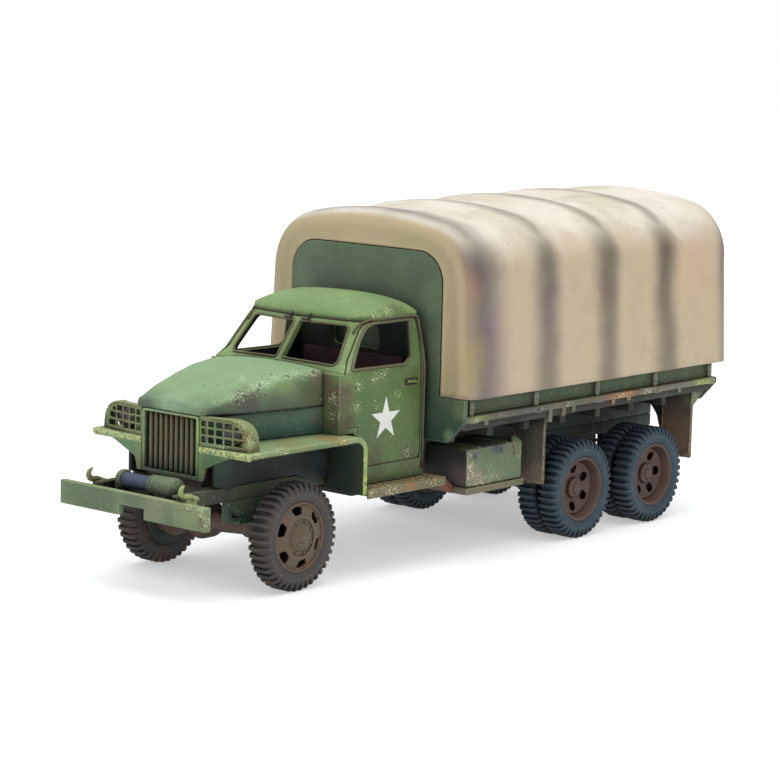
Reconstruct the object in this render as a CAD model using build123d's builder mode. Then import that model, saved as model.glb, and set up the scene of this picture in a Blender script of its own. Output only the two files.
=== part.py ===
from build123d import *
import math
import os

# A 1:56 scale model of a covered six-wheel-drive cargo truck with a front winch, standing on its
# wheels. All sizes are millimetres at the model's own size. +X points forward, +Y to the truck's
# left and +Z up. The origin lies on the ground, midway between the bumper's face and the end of
# the cargo bed, on the centre plane.

os.makedirs("parts", exist_ok=True)

# ---------------------------------------------------------------- driving dimensions, lengthwise
nose_reach = 20.2          # front axle to the bumper's face
tail_reach = 102.6         # front axle to the end of the cargo bed
wheelbase = 74.6           # front axle to midway between the two rear axles
bogie_spread = 20.6        # between the two rear axles

front_axle_x = (tail_reach - nose_reach) / 2
bogie_x = front_axle_x - wheelbase
mid_axle_x = bogie_x + bogie_spread / 2
rear_axle_x = bogie_x - bogie_spread / 2
nose_x = front_axle_x + nose_reach
tail_x = front_axle_x - tail_reach

# ---------------------------------------------------------------- wheels
tyre_radius = 8.3
tyre_width = 3.5
tyre_tread_width = 3.0     # across the lugs
tyre_wall_radius = 7.3     # of the side walls, which bulge beyond the tread
rim_radius = 5.4
bead_gap = 0.03            # between a tyre's bead and its rim
rim_wall = 0.4
disc_thickness = 0.5
hub_radius = 1.9
cap_radius = 0.9
stub_radius = 0.6          # axle stub that a wheel turns on
stub_clearance = 0.05      # around the stub
wheel_side_gap = 0.4       # between a brake drum and the turning wheel
hand_hole_count = 6
hand_hole_radius = 0.72
hand_hole_ring = 3.55
front_wheel_face = 15.8    # outer tyre wall of a front wheel from the centre plane
rear_wheel_face = 20.6     # outer tyre wall of a rear twin from the centre plane
twin_spacing = 4.3         # between the two tyres of a twin
cap_reach = 0.7            # front hub cap beyond the tyre wall
drum_radius = 3.6
drum_width = 1.6
axle_z = tyre_radius

# ---------------------------------------------------------------- frame and running gear
rail_bottom = 13.85
rail_height = 2.15
rail_outer = 8.6           # outer face of a frame rail from the centre plane
rail_width = 1.2
rail_web = 0.45
rail_tail_x = tail_x + 2.4
rail_top = rail_bottom + rail_height
rail_inner = rail_outer - rail_width
rail_mid = rail_outer - rail_width / 2

bumper_half_width = 15.4
bumper_bottom = 11.7
bumper_top = 15.35
bumper_depth = 1.1
bumper_wall = 0.5
bumper_notch_half = 2.65
bumper_notch_top = 13.35

axle_tube_radius = 1.1
banjo_radius = 3.1
banjo_depth = 4.4
front_banjo_y = -4.4       # front differential sits to the right of the centre plane
rear_banjo_y = -1.5
spring_width = 1.2
leaf_thickness = 0.55
leaf_count = 3
front_spring_half = 8.6    # from axle to shackle
leaf_step = 2.6            # each lower leaf is shorter by this at each end
seat_gap = 0.05            # between pieces that rest on each other

# ---------------------------------------------------------------- cab and nose
cab_front_setback = 10.3   # every setback is measured back from the front axle
cab_rear_setback = 30.7
cab_front_x = front_axle_x - cab_front_setback
cab_rear_x = front_axle_x - cab_rear_setback
cab_half_width = 13.66
cab_skirt_bottom = 14.05
cab_floor_thickness = 0.9
cab_floor_bottom = rail_top + seat_gap
cab_wall = 0.9
belt_z = 31.7
eaves_z = 39.6
roof_top_z = 42.84
eaves_half_width = 12.6
screen_lean = 5.9          # the windscreen's top lies this far behind its foot
screen_sweep = 1.5         # its centre pillar stands this far ahead of its corners
screen_foot_x = cab_front_x - 1.5
screen_corner_cut = 0.5    # chamfer of the window storey's front corners, sideways
screen_corner_run = 0.8    # and lengthwise
door_front_x = cab_front_x - 1.4
door_rear_x = cab_rear_x + 1.1
door_head_gap = 0.6        # from a door window's head to the door's upper edge
door_bottom = 16.9
door_gap = 0.12
door_window_bottom = 32.1
door_window_top = 38.5
roof_overhang = 0.25
roof_wall = 0.8

hood_half_width = 10.5
hood_nose_half_width = 7.4
hood_skin = 0.7
hood_rear_gap = 0.1
hood_rear_x = cab_front_x + hood_rear_gap
grille_reach = 12.35       # from the front axle to the grille's face
grille_face_x = front_axle_x + grille_reach
grille_half_width = 6.02
grille_bottom = 17.1
grille_top = 26.72
grille_depth = 1.0
grille_post = 0.8
grille_bar = 0.5
grille_bar_count = 9

fender_lead = 0.09         # of the fenders' front edge before the grille's face
fender_rear_setback = 13.89
fender_front_x = grille_face_x + fender_lead
fender_rear_x = front_axle_x - fender_rear_setback
fender_top = 22.4
fender_skin = 0.9
fender_half_width = 16.7
fender_drop_bottom = 13.1
fender_corner = 2.4
arch_wall_y = rail_outer + seat_gap
arch_wall_bottom = 15.0
arch_wall_front_inset = 3.0

guard_top = 27.0
guard_half_width = 15.4
guard_skin = 0.6
guard_columns = 5
guard_rows = 3
lamp_radius = 2.0
lamp_y = 11.2
lamp_z = 24.75
lamp_depth = 3.0
lamp_setback = 1.6         # of the lamps' glass from the grille's face
lamp_front_x = grille_face_x - lamp_setback

# ---------------------------------------------------------------- steps, tank and box
step_front_x = fender_rear_x
step_overhang = 1.7        # of the running boards behind the cab
step_rear_x = cab_rear_x - step_overhang
step_outer_y = 16.95
step_top = rail_bottom
step_thickness = 0.95
tank_setback = 37.35
tank_front_x = front_axle_x - tank_setback
tank_length = 14.2
tank_outer_y = 17.25
tank_bottom = 11.4
tank_height = 6.15
tray_thickness = 1.1
tray_lip = 0.35

# ---------------------------------------------------------------- cargo bed and canopy
cab_to_bed_gap = 0.7
bed_front_x = cab_rear_x - cab_to_bed_gap
bed_floor_top = 22.6
bed_floor_thickness = 1.1
canopy_half_width = 22.36   # at the canopy's lower edge
bed_rail_half_width = canopy_half_width - 1.6
bed_rail_height = 1.15
bed_rail_thickness = 1.1
bed_rail_top = bed_floor_top + bed_rail_height
rail_in_y = bed_rail_half_width - bed_rail_thickness
bed_wall = 0.9              # front wall and tailgate
bed_wall_half_width = canopy_half_width - 1.26
bed_floor_half_width = bed_rail_half_width - 0.56
wall_foot_z = 19.45
bevel_width = 3.4           # of the slanted lower corners of the bed's end walls
bevel_foot_half = bed_wall_half_width - bevel_width
bevel_top_z = 22.8
bed_side_top = 28.2
bed_side_skin = 0.8
bed_post_places = (-34.6, -51.3, -68.0, -84.7, -101.2)
post_width = 1.0
post_depth = 0.55
sill_height = 2.1
sill_width = 1.4
sill_count = 8
sill_half_width = bevel_foot_half - 0.2
canopy_bottom = 26.68
canopy_skin = 1.1
canopy_sag = 0.7
opening_half_width = canopy_half_width - 6.36
opening_top = 49.4
opening_corner = 5.0
opening_gap = 0.12          # around the front wall in the canopy's opening
ledge_height = 0.9
tailgate_top = 28.2
flap_thickness = 0.6
flap_outer_y = 19.2

# ---------------------------------------------------------------- frame rails
for side_name, side in (("left", 1), ("right", -1)):
    with BuildPart() as frame_rail:
        with BuildSketch(Plane.YZ.offset(rail_tail_x)):
            with Locations((side * rail_mid, rail_bottom + rail_height / 2)):
                Rectangle(rail_width, rail_height)
        extrude(amount=nose_x - bumper_depth - rail_tail_x)
        channel_y = side * (rail_inner + (rail_width - rail_web) / 2)
        with BuildSketch(Plane.YZ.offset(rail_tail_x)):
            with Locations((channel_y, rail_bottom + rail_height / 2)):
                Rectangle(rail_width - rail_web, rail_height - 2 * rail_web)
        extrude(amount=nose_x - bumper_depth - rail_tail_x, mode=Mode.SUBTRACT)
    frame_rail.part.label = f"frame_rail_{side_name}"
    export_step(frame_rail.part, f"parts/frame_rail_{side_name}.step")

# ---------------------------------------------------------------- cross members between the rails
# columns: distance of the middle ahead of (+) or behind (-) the front axle
cross_member_places = (10.2, -9.0, -30.0, -47.0, -wheelbase, rail_tail_x + 0.8 - front_axle_x)
cross_member_length = 1.6
with BuildPart() as cross_members:
    with BuildSketch(Plane.XY.offset(rail_bottom)):
        for place in cross_member_places:
            with Locations((front_axle_x + place, 0)):
                Rectangle(cross_member_length, 2 * rail_inner)
    extrude(amount=rail_height)
cross_members.part.label = "cross_members"
export_step(cross_members.part, "parts/cross_members.step")

# ---------------------------------------------------------------- front bumper
with BuildPart() as front_bumper:
    with BuildSketch(Plane.YZ.offset(nose_x - bumper_depth)):
        with Locations((0, (bumper_bottom + bumper_top) / 2)):
            Rectangle(2 * bumper_half_width, bumper_top - bumper_bottom)
        with Locations((0, (bumper_bottom + bumper_notch_top) / 2)):
            Rectangle(2 * bumper_notch_half, bumper_notch_top - bumper_bottom, mode=Mode.SUBTRACT)
    extrude(amount=bumper_depth)
    with BuildSketch(Plane.YZ.offset(nose_x - bumper_depth)):
        with Locations((0, (bumper_notch_top + bumper_top) / 2)):
            Rectangle(2 * (bumper_half_width - bumper_wall),
                      bumper_top - bumper_notch_top - 2 * bumper_wall)
        for side in (1, -1):
            pocket_inner = bumper_notch_half + bumper_wall
            pocket_outer = bumper_half_width - bumper_wall
            with Locations((side * (pocket_inner + pocket_outer) / 2, (bumper_bottom + bumper_top) / 2)):
                Rectangle(pocket_outer - pocket_inner, bumper_top - bumper_bottom - 2 * bumper_wall)
    extrude(amount=bumper_depth - bumper_wall, mode=Mode.SUBTRACT)
front_bumper.part.label = "front_bumper"
export_step(front_bumper.part, "parts/front_bumper.step")

# ---------------------------------------------------------------- tow hooks on the frame horns
hook_setback = 1.3
hook_x = nose_x - hook_setback
hook_outer = 1.2
hook_inner = 0.6
hook_z = bumper_top + seat_gap + hook_outer
hook_plate = 1.0
hook_root = 2.6
hook_root_bottom = rail_bottom + (rail_height - hook_plate) / 2
with BuildPart() as tow_hooks:
    for side in (1, -1):
        with BuildSketch(Plane.XZ.offset(-side * (rail_outer + seat_gap))):
            with Locations((hook_x - hook_root / 2, (hook_root_bottom + hook_z - hook_inner) / 2)):
                Rectangle(hook_root, hook_z - hook_inner - hook_root_bottom)
        extrude(amount=-side * 2 * hook_plate)
        with BuildSketch(Plane.XZ.offset(-side * (rail_outer + seat_gap + hook_plate))):
            with Locations((hook_x, hook_z)):
                Circle(hook_outer)
                Circle(hook_inner, mode=Mode.SUBTRACT)
            with Locations((hook_x + hook_outer / 2, hook_z + hook_outer / 2)):
                Rectangle(hook_outer, hook_outer, mode=Mode.SUBTRACT)
        extrude(amount=-side * hook_plate)
tow_hooks.part.label = "tow_hooks"
export_step(tow_hooks.part, "parts/tow_hooks.step")

# ---------------------------------------------------------------- winch
winch_setback = 4.2
winch_x = nose_x - winch_setback
winch_z = 16.35
winch_base_length = 4.0
winch_base_thickness = 0.6
winch_plate = 0.6
winch_end_y = -6.6
winch_gear_y = 0.6
winch_gear_end_y = 5.4
winch_gear_radius = 1.7
winch_plate_half = 1.3
drum_rope_radius = 1.28
drum_flange_radius = 1.6
drum_flange = 0.35
with BuildPart() as winch_frame:
    with BuildSketch(Plane.XY.offset(rail_bottom)):
        with Locations((winch_x, 0)):
            Rectangle(winch_base_length, 2 * rail_inner)
    extrude(amount=winch_base_thickness)
    # columns: start along the axis, end along the axis, half length
    for start_y, end_y, half_length in ((winch_end_y, winch_end_y + winch_plate, winch_plate_half),
                                        (winch_gear_y, winch_gear_end_y, winch_gear_radius)):
        with BuildSketch(Plane.XZ.offset(-start_y)):
            with Locations((winch_x, (rail_bottom + winch_z) / 2)):
                Rectangle(2 * half_length, winch_z - rail_bottom)
            with Locations((winch_x, winch_z)):
                Circle(half_length)
        extrude(amount=start_y - end_y)
winch_frame.part.label = "winch_frame"
export_step(winch_frame.part, "parts/winch_frame.step")

with BuildPart() as winch_drum:
    drum_start = winch_end_y + winch_plate + seat_gap
    drum_end = winch_gear_y - seat_gap
    # columns: start along the axis, end along the axis, radius
    for start_y, end_y, ring_radius in ((drum_start, drum_end, drum_rope_radius),
                                        (drum_start, drum_start + drum_flange, drum_flange_radius),
                                        (drum_end - drum_flange, drum_end, drum_flange_radius)):
        with BuildSketch(Plane.XZ.offset(-start_y)):
            with Locations((winch_x, winch_z)):
                Circle(ring_radius)
        extrude(amount=start_y - end_y)
winch_drum.part.label = "winch_drum"
export_step(winch_drum.part, "parts/winch_drum.step")

# ---------------------------------------------------------------- axles with brake drums and stubs
stub_reach = 2.2           # of the stub beyond the drum gap, inside the hub
# columns: name, x, y of the banjo, y of the inner face of its wheels
axles = (
    ("front_axle", front_axle_x, front_banjo_y, front_wheel_face - tyre_width),
    ("middle_axle", mid_axle_x, rear_banjo_y, rear_wheel_face - tyre_width - twin_spacing),
    ("rear_axle", rear_axle_x, rear_banjo_y, rear_wheel_face - tyre_width - twin_spacing),
)
for axle_name, axle_x, banjo_y, wheel_inner_y in axles:
    drum_face = wheel_inner_y - wheel_side_gap
    with BuildPart() as axle:
        # columns: half length along the axle, radius
        for half_length, ring_radius in ((drum_face, axle_tube_radius),
                                         (wheel_inner_y + stub_reach, stub_radius)):
            with BuildSketch(Plane.XZ.offset(-half_length)):
                with Locations((axle_x, axle_z)):
                    Circle(ring_radius)
            extrude(amount=2 * half_length)
        for side in (1, -1):
            with BuildSketch(Plane.XZ.offset(-side * drum_face)):
                with Locations((axle_x, axle_z)):
                    Circle(drum_radius)
            extrude(amount=side * drum_width)
        with BuildSketch(Plane.YZ.offset(axle_x - banjo_depth / 2)):
            with Locations((banjo_y, axle_z)):
                Circle(banjo_radius)
        extrude(amount=banjo_depth)
        fillet(axle.edges().filter_by(GeomType.CIRCLE).filter_by(
            lambda edge: abs(edge.radius - banjo_radius) < 0.01), radius=banjo_depth * 0.3)
    axle.part.label = axle_name
    export_step(axle.part, f"parts/{axle_name}.step")

# ---------------------------------------------------------------- leaf springs
shackle_length = 1.1
with BuildPart() as front_springs:
    leaf_bottom = axle_z + axle_tube_radius + seat_gap
    for side in (1, -1):
        for leaf in range(leaf_count):
            leaf_half = front_spring_half - leaf_step * (leaf_count - 1 - leaf)
            with BuildSketch(Plane.XY.offset(leaf_bottom + leaf * leaf_thickness)):
                with Locations((front_axle_x, side * rail_mid)):
                    Rectangle(2 * leaf_half, spring_width)
            extrude(amount=leaf_thickness)
        for end in (1, -1):
            with BuildSketch(Plane.XY.offset(leaf_bottom + leaf_count * leaf_thickness)):
                shackle_x = front_axle_x + end * (front_spring_half - shackle_length / 2)
                with Locations((shackle_x, side * rail_mid)):
                    Rectangle(shackle_length, spring_width)
            extrude(amount=rail_bottom - seat_gap - leaf_bottom - leaf_count * leaf_thickness)
front_springs.part.label = "front_springs"
export_step(front_springs.part, "parts/front_springs.step")

trunnion_half = 1.8
with BuildPart() as bogie_springs:
    for side in (1, -1):
        for leaf in range(leaf_count + 1):
            leaf_half = bogie_spread / 2 + spring_width / 2 - leaf_step * leaf
            with BuildSketch(Plane.XY.offset(leaf_bottom + leaf * leaf_thickness)):
                with Locations((bogie_x, side * rail_mid)):
                    Rectangle(2 * leaf_half, spring_width)
            extrude(amount=leaf_thickness)
        with BuildSketch(Plane.XY.offset(leaf_bottom)):
            with Locations((bogie_x, side * rail_mid)):
                Rectangle(2 * trunnion_half, spring_width)
        extrude(amount=rail_bottom - seat_gap - leaf_bottom)
bogie_springs.part.label = "bogie_springs"
export_step(bogie_springs.part, "parts/bogie_springs.step")

# ---------------------------------------------------------------- engine, gearboxes and shafts
engine_half_width = 4.0
engine_bottom = 12.4
engine_top = 24.6
with BuildPart() as engine_block:
    engine_rear_x = front_axle_x + cross_member_places[1] + cross_member_length / 2
    engine_front_x = front_axle_x + cross_member_places[0] - cross_member_length / 2
    with BuildSketch(Plane.XY.offset(engine_bottom)):
        with Locations(((engine_rear_x + engine_front_x) / 2, 0)):
            Rectangle(engine_front_x - engine_rear_x, 2 * engine_half_width)
    extrude(amount=engine_top - engine_bottom)
engine_block.part.label = "engine_block"
export_step(engine_block.part, "parts/engine_block.step")

gearbox_front_x = front_axle_x + cross_member_places[1] - cross_member_length / 2
gearbox_length = 7.2
gearbox_half_width = 2.2
gearbox_bottom = 11.6
gearbox_top = 15.9
transfer_x = front_axle_x + cross_member_places[2]
transfer_length = 6.0
transfer_bottom = 9.2
transfer_right_y = -5.4
transfer_left_y = 2.0
shaft_radius = 0.5
with BuildPart() as transfer_case:
    with BuildSketch(Plane.XY.offset(gearbox_bottom)):
        with Locations((gearbox_front_x - gearbox_length / 2, 0)):
            Rectangle(gearbox_length, 2 * gearbox_half_width)
    extrude(amount=gearbox_top - gearbox_bottom)
    with BuildSketch(Plane.XY.offset(transfer_bottom)):
        with Locations((transfer_x, (transfer_right_y + transfer_left_y) / 2)):
            Rectangle(transfer_length, transfer_left_y - transfer_right_y)
    extrude(amount=rail_bottom - transfer_bottom)
    with BuildSketch(Plane.YZ.offset(transfer_x)):
        with Locations((0, (gearbox_bottom + rail_bottom) / 2)):
            Circle(shaft_radius)
    extrude(amount=gearbox_front_x - gearbox_length / 2 - transfer_x)
transfer_case.part.label = "transfer_case"
export_step(transfer_case.part, "parts/transfer_case.step")

shaft_start_z = transfer_bottom + 1.0
# columns: start x, start y, start z, end x, end y, end z
shaft_runs = (
    (transfer_x + transfer_length / 2, front_banjo_y, shaft_start_z,
     front_axle_x - banjo_depth / 2, front_banjo_y, axle_z),
    (transfer_x - transfer_length / 2, rear_banjo_y, shaft_start_z,
     mid_axle_x + banjo_depth / 2, rear_banjo_y, axle_z),
    (mid_axle_x - banjo_depth / 2, rear_banjo_y, axle_z,
     rear_axle_x + banjo_depth / 2, rear_banjo_y, axle_z),
)
with BuildPart() as propeller_shafts:
    for x0, y0, z0, x1, y1, z1 in shaft_runs:
        run = Vector(x1, y1, z1) - Vector(x0, y0, z0)
        start = Vector(x0, y0, z0) + run.normalized() * 2 * seat_gap
        with BuildSketch(Plane(origin=start, z_dir=run)):
            Circle(shaft_radius)
        extrude(amount=run.length - 4 * seat_gap)
propeller_shafts.part.label = "propeller_shafts"
export_step(propeller_shafts.part, "parts/propeller_shafts.step")

# ---------------------------------------------------------------- exhaust under the right step
muffler_y = -10.6
muffler_radius = 1.2
muffler_front_x = step_front_x - 3.61
muffler_length = 11.0
muffler_head_gap = 0.35
muffler_z = step_top - step_thickness - muffler_head_gap - muffler_radius
tail_pipe_radius = 0.45
tail_pipe_length = 18.0
head_pipe_length = 2.5
muffler_bracket_length = 1.2
muffler_bracket_width = 1.0
with BuildPart() as exhaust:
    with BuildSketch(Plane.YZ.offset(muffler_front_x)):
        with Locations((muffler_y, muffler_z)):
            Circle(muffler_radius)
    extrude(amount=-muffler_length)
    with BuildSketch(Plane.YZ.offset(muffler_front_x + head_pipe_length)):
        with Locations((muffler_y, muffler_z)):
            Circle(tail_pipe_radius)
    extrude(amount=-tail_pipe_length)
    with BuildSketch(Plane.XY.offset(muffler_z)):
        with Locations((muffler_front_x - muffler_length / 2, muffler_y)):
            Rectangle(muffler_bracket_length, muffler_bracket_width)
    extrude(amount=step_top - step_thickness - seat_gap - muffler_z)
exhaust.part.label = "exhaust"
export_step(exhaust.part, "parts/exhaust.step")

# ---------------------------------------------------------------- wheels
bead_sides = 24
lug_count = 20
lug_root_radius = 7.7
# columns: share of the pitch from one lug to the next, radius
lug_corners = ((0.0, tyre_radius), (0.39, tyre_radius), (0.47, lug_root_radius), (0.92, lug_root_radius))
tread_outline = [(radius * math.sin(math.tau * (lug + share) / lug_count),
                  radius * math.cos(math.tau * (lug + share) / lug_count))
                 for lug in range(lug_count) for share, radius in lug_corners]
bead_inset = 0.35          # of a rim's edge inside the tyre's wall
rim_lip = 0.1              # of a rim's outer edge beyond that
disc_inset = 1.4           # of a front disc from the tyre's outer wall
hub_inset = 0.1
hub_face_inset = 0.45
hub_bore_depth = 2.5
twin_hub_inset = 2.0       # of a twin's hub from the outer tyre's wall
twin_cap_inset = 0.6
twin_cap_radius = 1.1
# columns: start along the axle, end along the axle, inner radius, outer radius; measured outwards
# from the inner face of the wheel
rim_start = bead_inset
rim_end = tyre_width - bead_inset + rim_lip
disc_start = tyre_width - disc_inset
single_rings = (
    (rim_start, rim_end, rim_radius - rim_wall, rim_radius),
    (disc_start, disc_start + disc_thickness, 0, rim_radius),
    (hub_inset, tyre_width - hub_face_inset, 0, hub_radius),
    (hub_inset, tyre_width + cap_reach, 0, cap_radius),
)
twin_width = tyre_width + twin_spacing
twin_rings = (
    (rim_start, rim_end, rim_radius - rim_wall, rim_radius),
    (twin_spacing + rim_start - rim_lip, twin_spacing + rim_end, rim_radius - rim_wall, rim_radius),
    (tyre_width - bead_inset, twin_spacing + bead_inset, 0, rim_radius),
    (hub_inset, twin_width - twin_hub_inset, 0, hub_radius),
    (hub_inset, twin_width - twin_cap_inset, 0, twin_cap_radius),
)
# columns: name, axle x, y of the inner face, tyre offsets along the axle, rings, overall width
wheel_kinds = (
    ("front", front_axle_x, front_wheel_face - tyre_width, (0,), single_rings, tyre_width),
    ("middle", mid_axle_x, rear_wheel_face - twin_width, (0, twin_spacing), twin_rings, twin_width),
    ("rear", rear_axle_x, rear_wheel_face - twin_width, (0, twin_spacing), twin_rings, twin_width),
)
bead_radius = rim_radius + bead_gap
for kind, wheel_x, inner_y, tyre_offsets, rings, wheel_width in wheel_kinds:
    for side_name, side in (("left", 1), ("right", -1)):
        hub_centre = (wheel_x, side * inner_y, axle_z)
        section_plane = Plane(origin=hub_centre, x_dir=(0, side, 0), z_dir=(side, 0, 0))
        face_plane = Plane(origin=hub_centre, x_dir=(-side, 0, 0), z_dir=(0, side, 0))
        wheel_axis = Axis(hub_centre, (0, 1, 0))
        with BuildPart() as tyre:
            for tyre_offset in tyre_offsets:
                with BuildSketch(face_plane.offset(tyre_offset + (tyre_width - tyre_tread_width) / 2)):
                    with BuildLine():
                        Polyline(*tread_outline, close=True)
                    make_face()
                extrude(amount=tyre_tread_width)
                with BuildSketch(face_plane.offset(tyre_offset)):
                    RegularPolygon(tyre_wall_radius, lug_count)
                extrude(amount=tyre_width)
            with BuildSketch(face_plane):
                RegularPolygon(bead_radius, bead_sides, major_radius=False)
            extrude(amount=wheel_width, mode=Mode.SUBTRACT)
        tyre.part.label = f"tyre_{kind}_{side_name}"
        export_step(tyre.part, f"parts/tyre_{kind}_{side_name}.step")
        with BuildPart() as rim:
            with BuildSketch(section_plane):
                for ring_start, ring_end, inner_radius, outer_radius in rings:
                    with Locations((ring_start, inner_radius)):
                        Rectangle(ring_end - ring_start, outer_radius - inner_radius,
                                  align=(Align.MIN, Align.MIN))
            revolve(axis=wheel_axis)
            with BuildSketch(face_plane):
                with PolarLocations(hand_hole_ring, hand_hole_count):
                    Circle(hand_hole_radius)
            extrude(amount=wheel_width, mode=Mode.SUBTRACT)
            with BuildSketch(face_plane):
                Circle(stub_radius + stub_clearance)
            extrude(amount=hub_bore_depth, mode=Mode.SUBTRACT)
        rim.part.label = f"rim_{kind}_{side_name}"
        export_step(rim.part, f"parts/rim_{kind}_{side_name}.step")

# ---------------------------------------------------------------- cab shell
toe_x = fender_rear_x - seat_gap          # the cab is stepped over the fenders' rear ends
shelf_z = fender_top + seat_gap


def greenhouse_plan(height, inset):
    """Corners of the cab's window storey at a height, moved inwards by inset."""
    rise = (height - belt_z) / (eaves_z - belt_z)
    foot_x = screen_foot_x - screen_lean * rise - inset
    half = cab_half_width + (eaves_half_width - cab_half_width) * rise - inset
    rear_x = cab_rear_x + inset
    corner_x = foot_x - screen_corner_run
    corner_y = half - screen_corner_cut
    return ((foot_x + screen_sweep, 0), (foot_x, corner_y), (corner_x, half),
            (rear_x, half), (rear_x, -half), (corner_x, -half), (foot_x, -corner_y))


def lower_cab_side(inset):
    """Side outline of the cab below its belt line, moved inwards by inset."""
    return ((toe_x - inset, cab_skirt_bottom - inset), (toe_x - inset, shelf_z + inset),
            (cab_front_x - inset, shelf_z + inset), (cab_front_x - inset, belt_z - inset),
            (cab_rear_x + inset, belt_z - inset), (cab_rear_x + inset, cab_skirt_bottom - inset))


with BuildPart() as cab_space:
    with BuildSketch(Plane.XZ.offset(-(cab_half_width - cab_wall))):
        with BuildLine():
            Polyline(*lower_cab_side(cab_wall), close=True)
        make_face()
    extrude(amount=2 * (cab_half_width - cab_wall))
    for height in (belt_z - cab_wall, eaves_z + seat_gap):
        with BuildSketch(Plane.XY.offset(height)):
            with BuildLine():
                Polyline(*greenhouse_plan(height, cab_wall), close=True)
            make_face()
    loft(ruled=True)

pillar_half = 0.5
pane_foot_half = 10.5
pane_head_half = 9.55
pane_foot_z = 32.8
pane_head_z = 38.45
pane_corner = 0.9
rear_window_half = 5.0
rear_window_bottom = 33.2
rear_window_top = 37.0
with BuildPart() as cab_whole:
    with BuildSketch(Plane.XZ.offset(-cab_half_width)):
        with BuildLine():
            Polyline(*lower_cab_side(0), close=True)
        make_face()
    extrude(amount=2 * cab_half_width)
    for height in (belt_z, eaves_z):
        with BuildSketch(Plane.XY.offset(height)):
            with BuildLine():
                Polyline(*greenhouse_plan(height, 0), close=True)
            make_face()
    loft(ruled=True)
    add(cab_space.part, mode=Mode.SUBTRACT)
    with BuildSketch(Plane.XY.offset(cab_skirt_bottom)):
        with Locations(((toe_x + cab_rear_x) / 2, 0)):
            Rectangle(toe_x - cab_rear_x + cab_wall, 2 * (cab_half_width - cab_wall))
    extrude(amount=cab_floor_bottom - cab_skirt_bottom, mode=Mode.SUBTRACT)
    with BuildSketch(Plane.YZ.offset(cab_front_x)):
        for side in (1, -1):
            with BuildLine():
                Polyline((side * pillar_half, pane_foot_z), (side * pane_foot_half, pane_foot_z),
                         (side * pane_head_half, pane_head_z), (side * pillar_half, pane_head_z),
                         close=True)
            make_face()
        fillet(vertices(), radius=pane_corner)
    extrude(amount=-(cab_front_x - screen_foot_x + screen_lean + 2 * cab_wall), mode=Mode.SUBTRACT)
    with BuildSketch(Plane.YZ.offset(cab_rear_x)):
        with Locations((0, (rear_window_bottom + rear_window_top) / 2)):
            RectangleRounded(2 * rear_window_half, rear_window_top - rear_window_bottom, pane_corner)
    extrude(amount=cab_wall, mode=Mode.SUBTRACT)


door_cut_depth = cab_half_width - eaves_half_width + 1.6 * cab_wall
door_lean = 1.12 * screen_lean
door_head_z = door_window_top + door_head_gap


def door_outline(gap):
    """Side outline of a door, widened by gap."""
    return ((toe_x - cab_wall + gap, door_bottom - gap),
            (toe_x - cab_wall + gap, shelf_z + cab_wall - gap),
            (door_front_x + gap, shelf_z + cab_wall - gap),
            (door_front_x + gap, belt_z + gap),
            (door_front_x - door_lean + gap, door_head_z + gap),
            (door_rear_x - gap, door_head_z + gap),
            (door_rear_x - gap, door_bottom - gap))


window_front_foot_x = door_front_x - 1.8
window_front_head_x = window_front_foot_x - 5.6
window_rear_x = door_rear_x + 2.25
handle_z = 29.1
handle_length = 2.4
handle_height = 0.5
handle_depth = 0.35
handle_inset = 0.6          # of the handle from the door's rear edge
for side_name, side in (("left", 1), ("right", -1)):
    with BuildPart() as door:
        add(cab_whole.part)
        with BuildSketch(Plane.XZ.offset(-side * cab_half_width)):
            with BuildLine():
                Polyline(*door_outline(0), close=True)
            make_face()
            with BuildLine():
                Polyline((window_front_foot_x, door_window_bottom),
                         (window_front_head_x, door_window_top),
                         (window_rear_x, door_window_top),
                         (window_rear_x, door_window_bottom), close=True)
            make_face(mode=Mode.SUBTRACT)
        extrude(amount=side * door_cut_depth, mode=Mode.INTERSECT)
        with BuildSketch(Plane.XZ.offset(-side * cab_half_width)):
            with Locations((door_rear_x + handle_inset + handle_length / 2, handle_z)):
                Rectangle(handle_length, handle_height)
        extrude(amount=-side * handle_depth)
    door.part.label = f"door_{side_name}"
    export_step(door.part, f"parts/door_{side_name}.step")

with BuildPart() as cab_shell:
    add(cab_whole.part)
    for side in (1, -1):
        with BuildSketch(Plane.XZ.offset(-side * cab_half_width)):
            with BuildLine():
                Polyline(*door_outline(door_gap), close=True)
            make_face()
        extrude(amount=side * door_cut_depth, mode=Mode.SUBTRACT)
cab_shell.part.label = "cab_shell"
export_step(cab_shell.part, "parts/cab_shell.step")

# ---------------------------------------------------------------- cab roof
roof_half_width = eaves_half_width + roof_overhang
roof_front_x = screen_foot_x - screen_lean + screen_sweep + roof_overhang
roof_rear_overhang = 0.35
roof_rear_x = cab_rear_x - roof_rear_overhang
roof_rim = 0.45             # upright edge below the dome
roof_bow = screen_sweep + 0.6
# columns: distance inwards from the roof's edge, drop below the crown
roof_brow = ((1.7, 0.95), (5.5, 0.0), (11.0, 0.25))
roof_rear_drop = 1.2
roof_shoulder = ((1.5, 1.1), (5.0, 0.45))


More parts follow.
